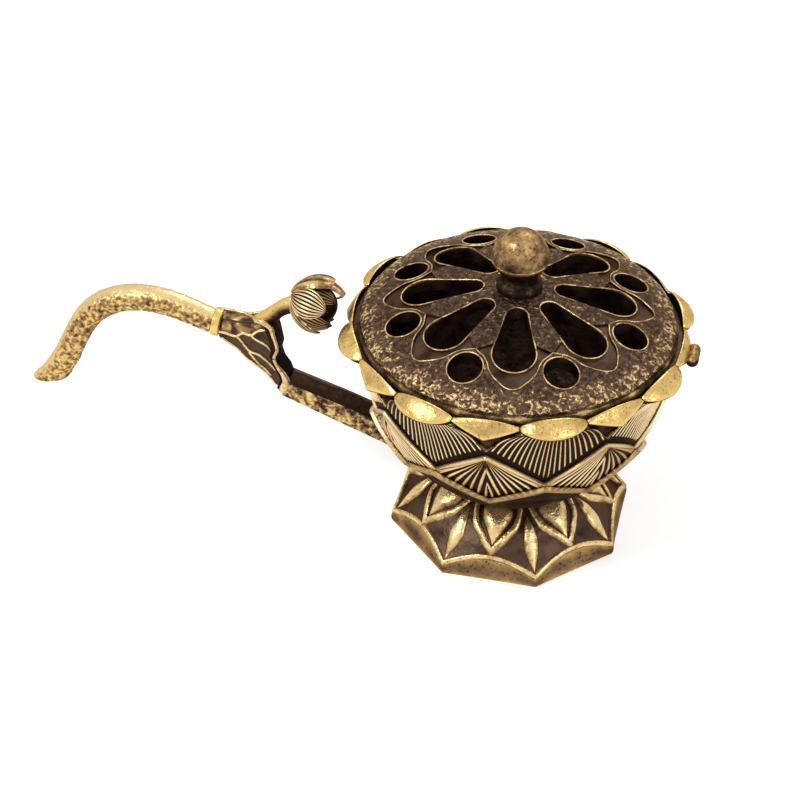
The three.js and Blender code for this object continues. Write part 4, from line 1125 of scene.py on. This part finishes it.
class CENSER_OT_bar(Operator):
    """Flat tapering arm with a hammered side and a dark plain top, and its stub on the bowl"""
    bl_idname = "censer.bar"
    bl_label = "Handle bar"

    def execute(self, context):
        half = size_of("bar_width") / 2
        # Reach out from the axis, and the height of the lower and the upper edge
        reaches = (12.0, 16.6, 24.5, 33.3)
        lower = (9.75, 9.5, 12.73, 16.35)
        upper = (12.9, 13.0, 15.9, 18.75)
        bar = added("bar_arm", bpy.ops.mesh.primitive_cube_add, size=MM, location=(0, 0, 0))
        edit_all(bar, lambda: bpy.ops.mesh.subdivide(number_cuts=15))
        x, y, z = points_of(bar).T / MM
        share = 0.5 - x
        reach = reaches[0] + (reaches[-1] - reaches[0]) * share
        low, high = np.interp(reach, reaches, lower), np.interp(reach, reaches, upper)
        # The top is slightly hollow and the cast sides are slightly full
        hollow = np.where(z > 0.49, -0.12 * (1 - 4 * y**2), 0)
        full = np.where(np.abs(y) > 0.495, 0.1 * np.sin(math.pi * (z + 0.5)), 0) * np.sign(y)
        move_points(bar, 0.8 * z * share - reach, 2 * y * half + full, low + (high - low) * (z + 0.5) + hollow)
        soften(bar, 0.3, 3)
        lay_relief(bar, smooth_step(half - 0.9, half - 0.1, points_of(bar)[:, 1] / MM))
        hand_over(bar, ["hammered_handle", "bar_top_brass"], EDGED, ["handle_bar"])
        second_finish(bar, lambda x, y, z, way: way.z > 0.72 or way.z < -0.9)
        return {"FINISHED"}


def handle_wall(name, outline, half, edge=0.25):
    """A flat form in the handle's plane, with softened edges."""
    flat = plate(name, [(-r, z) for r, z in outline], -half, half)
    flat.data.transform(Matrix(((1, 0, 0, 0), (0, 0, -1, 0), (0, 1, 0, 0), (0, 0, 0, 1))))
    edit_all(flat, outward)
    soften(flat, edge, 3, 40)
    lay_relief(flat, 0.0)
    return flat


def leaf_line(name, points, radii, half, ends=(1.0, 0.35), faces=(-1, 1)):
    """A raised vein along points of the handle's plane, on the faces of the leaf. A point may give its
    own distance from the middle of the leaf as a third number."""
    lines = []
    for face in faces:
        path = [(-p[0], face * (p[2] if len(p) > 2 else half), p[1]) for p in points]
        smooth = curve_through(path, 8 * len(points))
        girth = evenly(radii, np.linspace(0, 1, len(smooth)))
        girth[:4] *= np.linspace(ends[0], 1, 4)
        girth[-6:] *= np.linspace(1, ends[1], 6)
        lines.append(tube(name, smooth, girth, relief=0.86))
    return join(lines, name)


# Outlines and lines of the leaf, as reach and height. Lines go from the collar to the bar or the
# stem, and a border's third number is its distance from the leaf's middle
LEAF_CELL = ((42.9, 25.7), (41.2, 25.6), (40.2, 25.4), (39.2, 26.1), (38.2, 25.9), (37.0, 26.8), (35.7, 27.3),
             (35.9, 28.0), (37.0, 28.2), (38.9, 27.7), (42.3, 27.8))
LEAF_STEM = ((33.6, 16.7), (32.7, 18.6), (33.15, 20.0), (34.0, 21.3), (34.35, 22.7), (34.05, 24.0), (34.45, 26.6),
             (34.85, 28.4), (36.2, 28.7), (35.9, 27.2), (35.5, 26.0), (35.1, 24.2), (35.4, 22.9), (35.0, 21.2),
             (34.2, 19.6), (33.9, 18.6), (34.6, 17.3))
LEAF_BORDER = ((42.9, 28.35, -0.9), (41.7, 28.25, -0.9), (39.6, 28.1, -0.8), (38.3, 28.2, 0.0), (37.4, 28.4, 0.95),
               (36.4, 28.6, 1.4), (35.15, 28.0, 1.6), (34.75, 26.6, 1.65), (34.3, 24.0, 1.65), (34.72, 22.75, 1.65),
               (34.25, 21.2, 1.65), (33.45, 19.95, 1.65), (33.1, 18.65, 1.6), (33.5, 17.4, 1.5), (33.75, 16.9, 1.4))
BORDER_GIRTH = (0.24, 0.24, 0.26, 0.3, 0.4, 0.42, 0.34, 0.25, 0.26, 0.3, 0.28, 0.4, 0.66, 0.78)
LEAF_EDGE = ((42.6, 24.7), (41.7, 24.05), (40.3, 23.05), (39.0, 21.6), (37.3, 20.4), (35.8, 19.0), (34.8, 17.6))
# Radius, distance from the leaf's middle and line of each vein
VEINS = ((0.23, 1.3, ((43.0, 25.85), (41.9, 25.75), (40.44, 25.45), (39.26, 26.15), (38.24, 25.95), (37.06, 26.9),
                      (35.6, 27.3))),
         (0.2, 1.25, ((38.3, 26.0), (37.5, 25.3), (36.47, 24.77), (35.6, 24.1), (35.2, 23.5))),
         (0.2, 1.25, ((40.35, 25.5), (39.6, 24.6), (39.0, 23.7), (38.3, 22.95), (37.3, 22.7), (36.35, 22.05),
                      (35.25, 21.0), (34.6, 20.1))),
         (0.18, 1.2, ((38.62, 22.9), (38.0, 22.0), (37.2, 21.0), (36.21, 20.1), (35.4, 19.1))))
STALK = ((-37.3, 0, 27.0), (-36.3, 0, 28.1), (-34.8, 0, 29.6), (-33.2, 0, 30.9), (-31.7, 0, 31.6))


class CENSER_OT_leaf(Operator):
    """Veined lotus leaf with its dark stem and the stalk of the bud"""
    bl_idname = "censer.leaf"
    bl_label = "Leaf"

    def execute(self, context):
        web = handle_wall("leaf_web", LEAF_OUTLINE, 1.2)
        hand_over(web, ["leaf_cell_brass", "leaf_hammered_brass"], EDGED, ["leaf_bracket"])
        second_finish(web, lambda x, y, z, way: way.z > 0.6 and z > 27.5)
        # The part next to the collar is hammered, on both faces
        hand_over(handle_wall("leaf_cell", LEAF_CELL, 1.3, 0.2), ["leaf_hammered_brass"], EDGED)
        stem = handle_wall("leaf_stem", LEAF_STEM, 1.78)
        lay_relief(stem, 0.8 * smooth_step(1.3, 1.75, points_of(stem)[:, 1] / MM))
        hand_over(stem, ["bar_top_brass"], EDGED)
        far = [(r + 0.45, z - 0.15, max(y, 1.1) - 0.1) for r, z, y in LEAF_BORDER]
        lines = [leaf_line("leaf_border", LEAF_BORDER, BORDER_GIRTH, 1.5, (1.0, 0.8), (-1,)),
                 leaf_line("leaf_border", far, (0.26,), 1.5, (1.0, 0.8), (1,)),
                 leaf_line("leaf_edge", LEAF_EDGE, (0.17,), 1.15, (1.0, 0.9))]
        lines += [leaf_line("vein", points, (radius,), half) for radius, half, points in VEINS]
        hand_over(join(lines, "leaf_lines"), ["vein_brass"], FLOWING)
        girth = read(((0, 1.5), (0.25, 1.25), (0.6, 1.12), (1, 1.3)), np.linspace(0, 1, 24))
        stalk = tube("bud_stalk", curve_through(STALK, 24), girth, sides=24)
        # Painted highlight on the stalk's top and painted shade under it
        lit_from_above(stalk, -0.3, 0.7)
        hand_over(stalk, ["stalk_brass"], FLOWING)
        return {"FINISHED"}


COLLAR_PLACE = (-43.45, 0, 26.6)
COLLAR_TILT = math.radians(10.5)
COLLAR_PROFILE = ((1.0, -0.65), (1.85, -0.65), (2.06, -0.5), (2.1, 0.0), (2.06, 0.5), (1.85, 0.65), (1.0, 0.65),
                  (1.0, -0.65))
GRIP_PATH = ((44.1, 26.6), (46.3, 27.4), (49.0, 28.3), (52.55, 29.0), (57.5, 28.5), (60.5, 27.05), (62.85, 24.95),
             (64.7, 22.05), (66.15, 19.15), (67.2, 17.0), (68.5, 14.85), (70.15, 12.6))
GRIP_GIRTH = ((0, 1.84), (0.2, 1.93), (0.5, 2.0), (0.7, 1.93), (0.82, 1.95), (0.9, 2.1), (0.97, 2.45), (1, 2.5))


def make_grip():
    count = 150
    line = curve_through([(-r, 0, z) for r, z in GRIP_PATH], count)
    along = np.linspace(0, 1, count)
    girth = read(GRIP_GIRTH, along) * size_of("grip_radius") / 2
    width = np.where(along > 0.85, girth - (girth - 1.95) * 0.7, girth)
    # The end is cut nearly level, so the section turns to face down
    blend_in = smooth_step(0.8, 1.0, along)[:, None]
    ahead = unit(unit(np.gradient(line, axis=0)) * (1 - blend_in) + np.array((0.12, 0, -1.0)) * blend_in)
    up = np.stack([-ahead[:, 2], np.zeros(count), ahead[:, 0]], axis=1)
    up *= np.sign(up[0, 2])
    depth = girth * (1 + 0.18 * smooth_step(0.93, 1.0, along))

    def place(u, v):
        index = np.rint(v * (count - 1)).astype(int)
        angle = 2 * math.pi * u
        # crown is 1 on the grip's top: the hammer marks are shallower there, and as the relief it carries a painted
        # highlight
        crown = smooth_step(0.5, 1.0, np.sin(angle))
        ends = smooth_step(0.0, 0.03, v) * smooth_step(1.0, 0.97, v)
        # Hammer marks: shallow facets that go round the grip in a loose lattice
        rows = v * 26
        marks = np.cos(2 * math.pi * rows + 1.7 * np.sin(angle * 3)) * np.cos(angle * 6 + 2.4 * np.sin(rows * 2.1))
        dent = 0.085 * marks * (1 - 0.75 * crown) * ends - 0.03
        x, _, z = (line[index] + up[index] * ((depth[index] + dent) * np.sin(angle))[:, None]).T
        return x, (width[index] + dent) * np.cos(angle), z, crown

    grip = close_back(skin("grip_tail", 56, count - 1, place))
    soften(grip, 0.25, 2, 60)
    return grip


class CENSER_OT_grip(Operator):
    """Collar ring and the S-curved hammered grip with its flared end"""
    bl_idname = "censer.grip"
    bl_label = "Collar and grip"

    def execute(self, context):
        collar = turned_piece("collar_ring", COLLAR_PROFILE, 48)
        lay_relief(collar, 0.9)
        collar.data.transform(Matrix.Translation(Vector(COLLAR_PLACE) * MM)
                              @ Matrix.Rotation(COLLAR_TILT - math.pi / 2, 4, "Y"))
        hand_over(collar, ["rubbed_brass"], EDGED, ["handle_collar"])
        hand_over(make_grip(), ["hammered_grip"], CAST, ["grip"])
        return {"FINISHED"}


# Bud

BUD_PLACE = Matrix.Translation(Vector((-28.45, 0, 31.9)) * MM) @ Matrix.Rotation(0.3, 4, "Y")


def bud_petal(roll, spread, reach, lift, flare, ribs, tone=1.0, curl=0.0, thick=0.45, point=0.6, end=1.0):
    """A petal wrapped on the bud's ball, from its base at the stalk to its tip. roll, spread and reach
    are degrees round and along the ball."""
    radius = size_of("bud_radius")
    rows = 26
    last = 2 * rows + 1
    start = 5

    def place(u, v):
        row = np.rint(v * last).astype(int)
        inner = row > rows
        part = np.where(inner, last - row, row) / rows
        side = 2 * u - 1
        away = np.abs(side)
        polar = math.radians(start) + math.radians(reach - start) * part + curl * part**3
        width = spread * np.sin(np.clip(0.22 + (end - 0.22) * part, 0, 1) * math.pi) ** point
        angle = math.radians(roll) + math.radians(1) * width * side
        groove = wave(side * ribs / 2, 0.8) * smooth_step(1.0, 0.9, part) * (away < 0.98)
        shell = radius * (0.86 + lift) + flare * part**2.5 + 0.2 * groove * (1 - part * 0.5)
        shell = shell - 0.25 * away**3 - thick * inner
        edge = smooth_step(0.86, 0.98, away) + smooth_step(0.9, 1.0, part)
        relief = np.where(inner, 0.05, tone * np.clip(0.02 + 0.95 * groove + 0.5 * edge, 0, 1))
        out = shell * np.sin(polar)
        return -shell * np.cos(polar), -out * np.sin(angle), out * np.cos(angle), relief

    return skin("petal", 54, last, place)


class CENSER_OT_bud(Operator):
    """Opening lotus bud beside the bowl's rim"""
    bl_idname = "censer.bud"
    bl_label = "Lotus bud"

    def execute(self, context):
        core = added("bud_core", bpy.ops.mesh.primitive_uv_sphere_add, segments=32, ring_count=20, radius=2.8 * MM)
        lay_relief(core, 0.0)
        petals = ((60, 43, 114, 0.12, 0.0, 9), (-72, 38, 108, 0.02, 0.1, 7, 0.75), (141, 44, 116, 0.1, 0.2, 9, 0.75),
                  (231, 42, 112, 0.08, 0.1, 9, 0.8), (104, 36, 140, 0.06, 0.3, 8, 0.65),
                  (200, 36, 145, 0.0, 0.1, 8, 0.65), (22, 36, 138, -0.04, 0.0, 7, 0.6))
        bud = join([core] + [bud_petal(*petal) for petal in petals], "bud_petals")
        cap = join([bud_petal(-12, 36, 104, 0.17, 0.45, 3, 0.9, point=0.3, thick=1.3, end=0.93),
                    bud_petal(-24, 32, 128, 0.02, 0.75, 3, 0.9, curl=0.15, point=0.25, thick=1.5, end=0.87)],
                   "bud_cap")
        for piece in (bud, cap):
            piece.data.transform(BUD_PLACE)
        lay_relief(cap, 0.3 + 0.5 * np.array([item.value for item in cap.data.attributes["relief"].data]))
        hand_over(cap, ["bud_cap_brass"], CAST)
        hand_over(bud, ["ribbed_brass"], CAST, ["lotus_bud"])
        return {"FINISHED"}


# Stage

FLOOR_SIZE = 6
LAMP_AIM = (0, 0, 20)


def lamp(name, place, width, energy):
    """A round soft lamp that shines on the middle of the bowl."""
    light = added(name, bpy.ops.object.light_add, type="AREA", location=[c * MM for c in place])
    give(light.data, shape="DISK", size=width * MM, energy=energy)
    light.rotation_euler = (Vector(LAMP_AIM) - Vector(place)).to_track_quat("-Z", "Y").to_euler()


class CENSER_OT_stage(Operator):
    """Pale floor, soft studio light and the camera"""
    bl_idname = "censer.stage"
    bl_label = "Stage"

    def execute(self, context):
        scene = context.scene
        scene.view_settings.view_transform = "Standard"
        floor = added("floor", bpy.ops.mesh.primitive_plane_add, size=FLOOR_SIZE)
        paper = Finish("floor_paper")
        paper.wire(paper.shader, {"Base Color": (*scene.censer_colours.floor, 1), "Roughness": 0.9,
                                  "Specular IOR Level": 0.1, "Emission Color": WHITE,
                                  "Emission Strength": paper.times(paper.seen(), 0.5)})
        floor.data.materials.append(paper.material)

        scene.world = bpy.data.worlds.new("studio")
        scene.world.use_nodes = True
        sky = Nodes(scene.world.node_tree)
        sky.fill(sky.tree.nodes["Background"], WHITE, sky.span(sky.seen(), 0.0, 1.0, 0.4, 1.0))

        lamp("key_light", (-320, -260, 520), 220, 1.5)
        lamp("fill_light", (420, -300, 380), 300, 0.5)
        lamp("back_light", (40, 420, 460), 260, 0.6)

        # The place and the lens that were fitted to the photograph
        camera = added("photo_camera", bpy.ops.object.camera_add)
        give(camera.data, lens=92.84, sensor_width=36, shift_x=0.0026, shift_y=-0.0027, clip_start=0.01, clip_end=10)
        camera.location = (0.03648216, -0.2282081, 0.1991881)
        camera.rotation_euler = (math.acos(0.61287635), 0, math.atan2(0.22784107, 0.97369833))
        scene.camera = camera
        return {"FINISHED"}


class CENSER_PT_panel(Panel):
    """The censer's sizes, colours and operators"""
    bl_idname = "CENSER_PT_panel"
    bl_label = "Lotus Hand Censer"
    bl_space_type = "VIEW_3D"
    bl_region_type = "UI"
    bl_category = "Censer"

    def draw(self, context):
        layout = self.layout
        for group in (context.scene.censer_sizes, context.scene.censer_colours):
            box = layout.box()
            for key in group.__annotations__:
                box.prop(group, key)
        for operator in OPERATORS:
            layout.operator(operator.bl_idname)


OPERATORS = (CENSER_OT_foot, CENSER_OT_bowl, CENSER_OT_lid, CENSER_OT_knob, CENSER_OT_fastenings, CENSER_OT_bar,
             CENSER_OT_leaf, CENSER_OT_grip, CENSER_OT_bud, CENSER_OT_stage)
CLASSES = (CenserSizes, CenserColours) + OPERATORS + (CENSER_PT_panel,)


def register():
    for item in CLASSES:
        bpy.utils.register_class(item)
    bpy.types.Scene.censer_sizes = PointerProperty(type=CenserSizes)
    bpy.types.Scene.censer_colours = PointerProperty(type=CenserColours)


def unregister():
    del bpy.types.Scene.censer_sizes
    del bpy.types.Scene.censer_colours
    for item in reversed(CLASSES):
        bpy.utils.unregister_class(item)


def main():
    register()
    for operator in OPERATORS:
        group, name = operator.bl_idname.split(".")
        getattr(getattr(bpy.ops, group), name)()


if __name__ == "__main__":
    main()
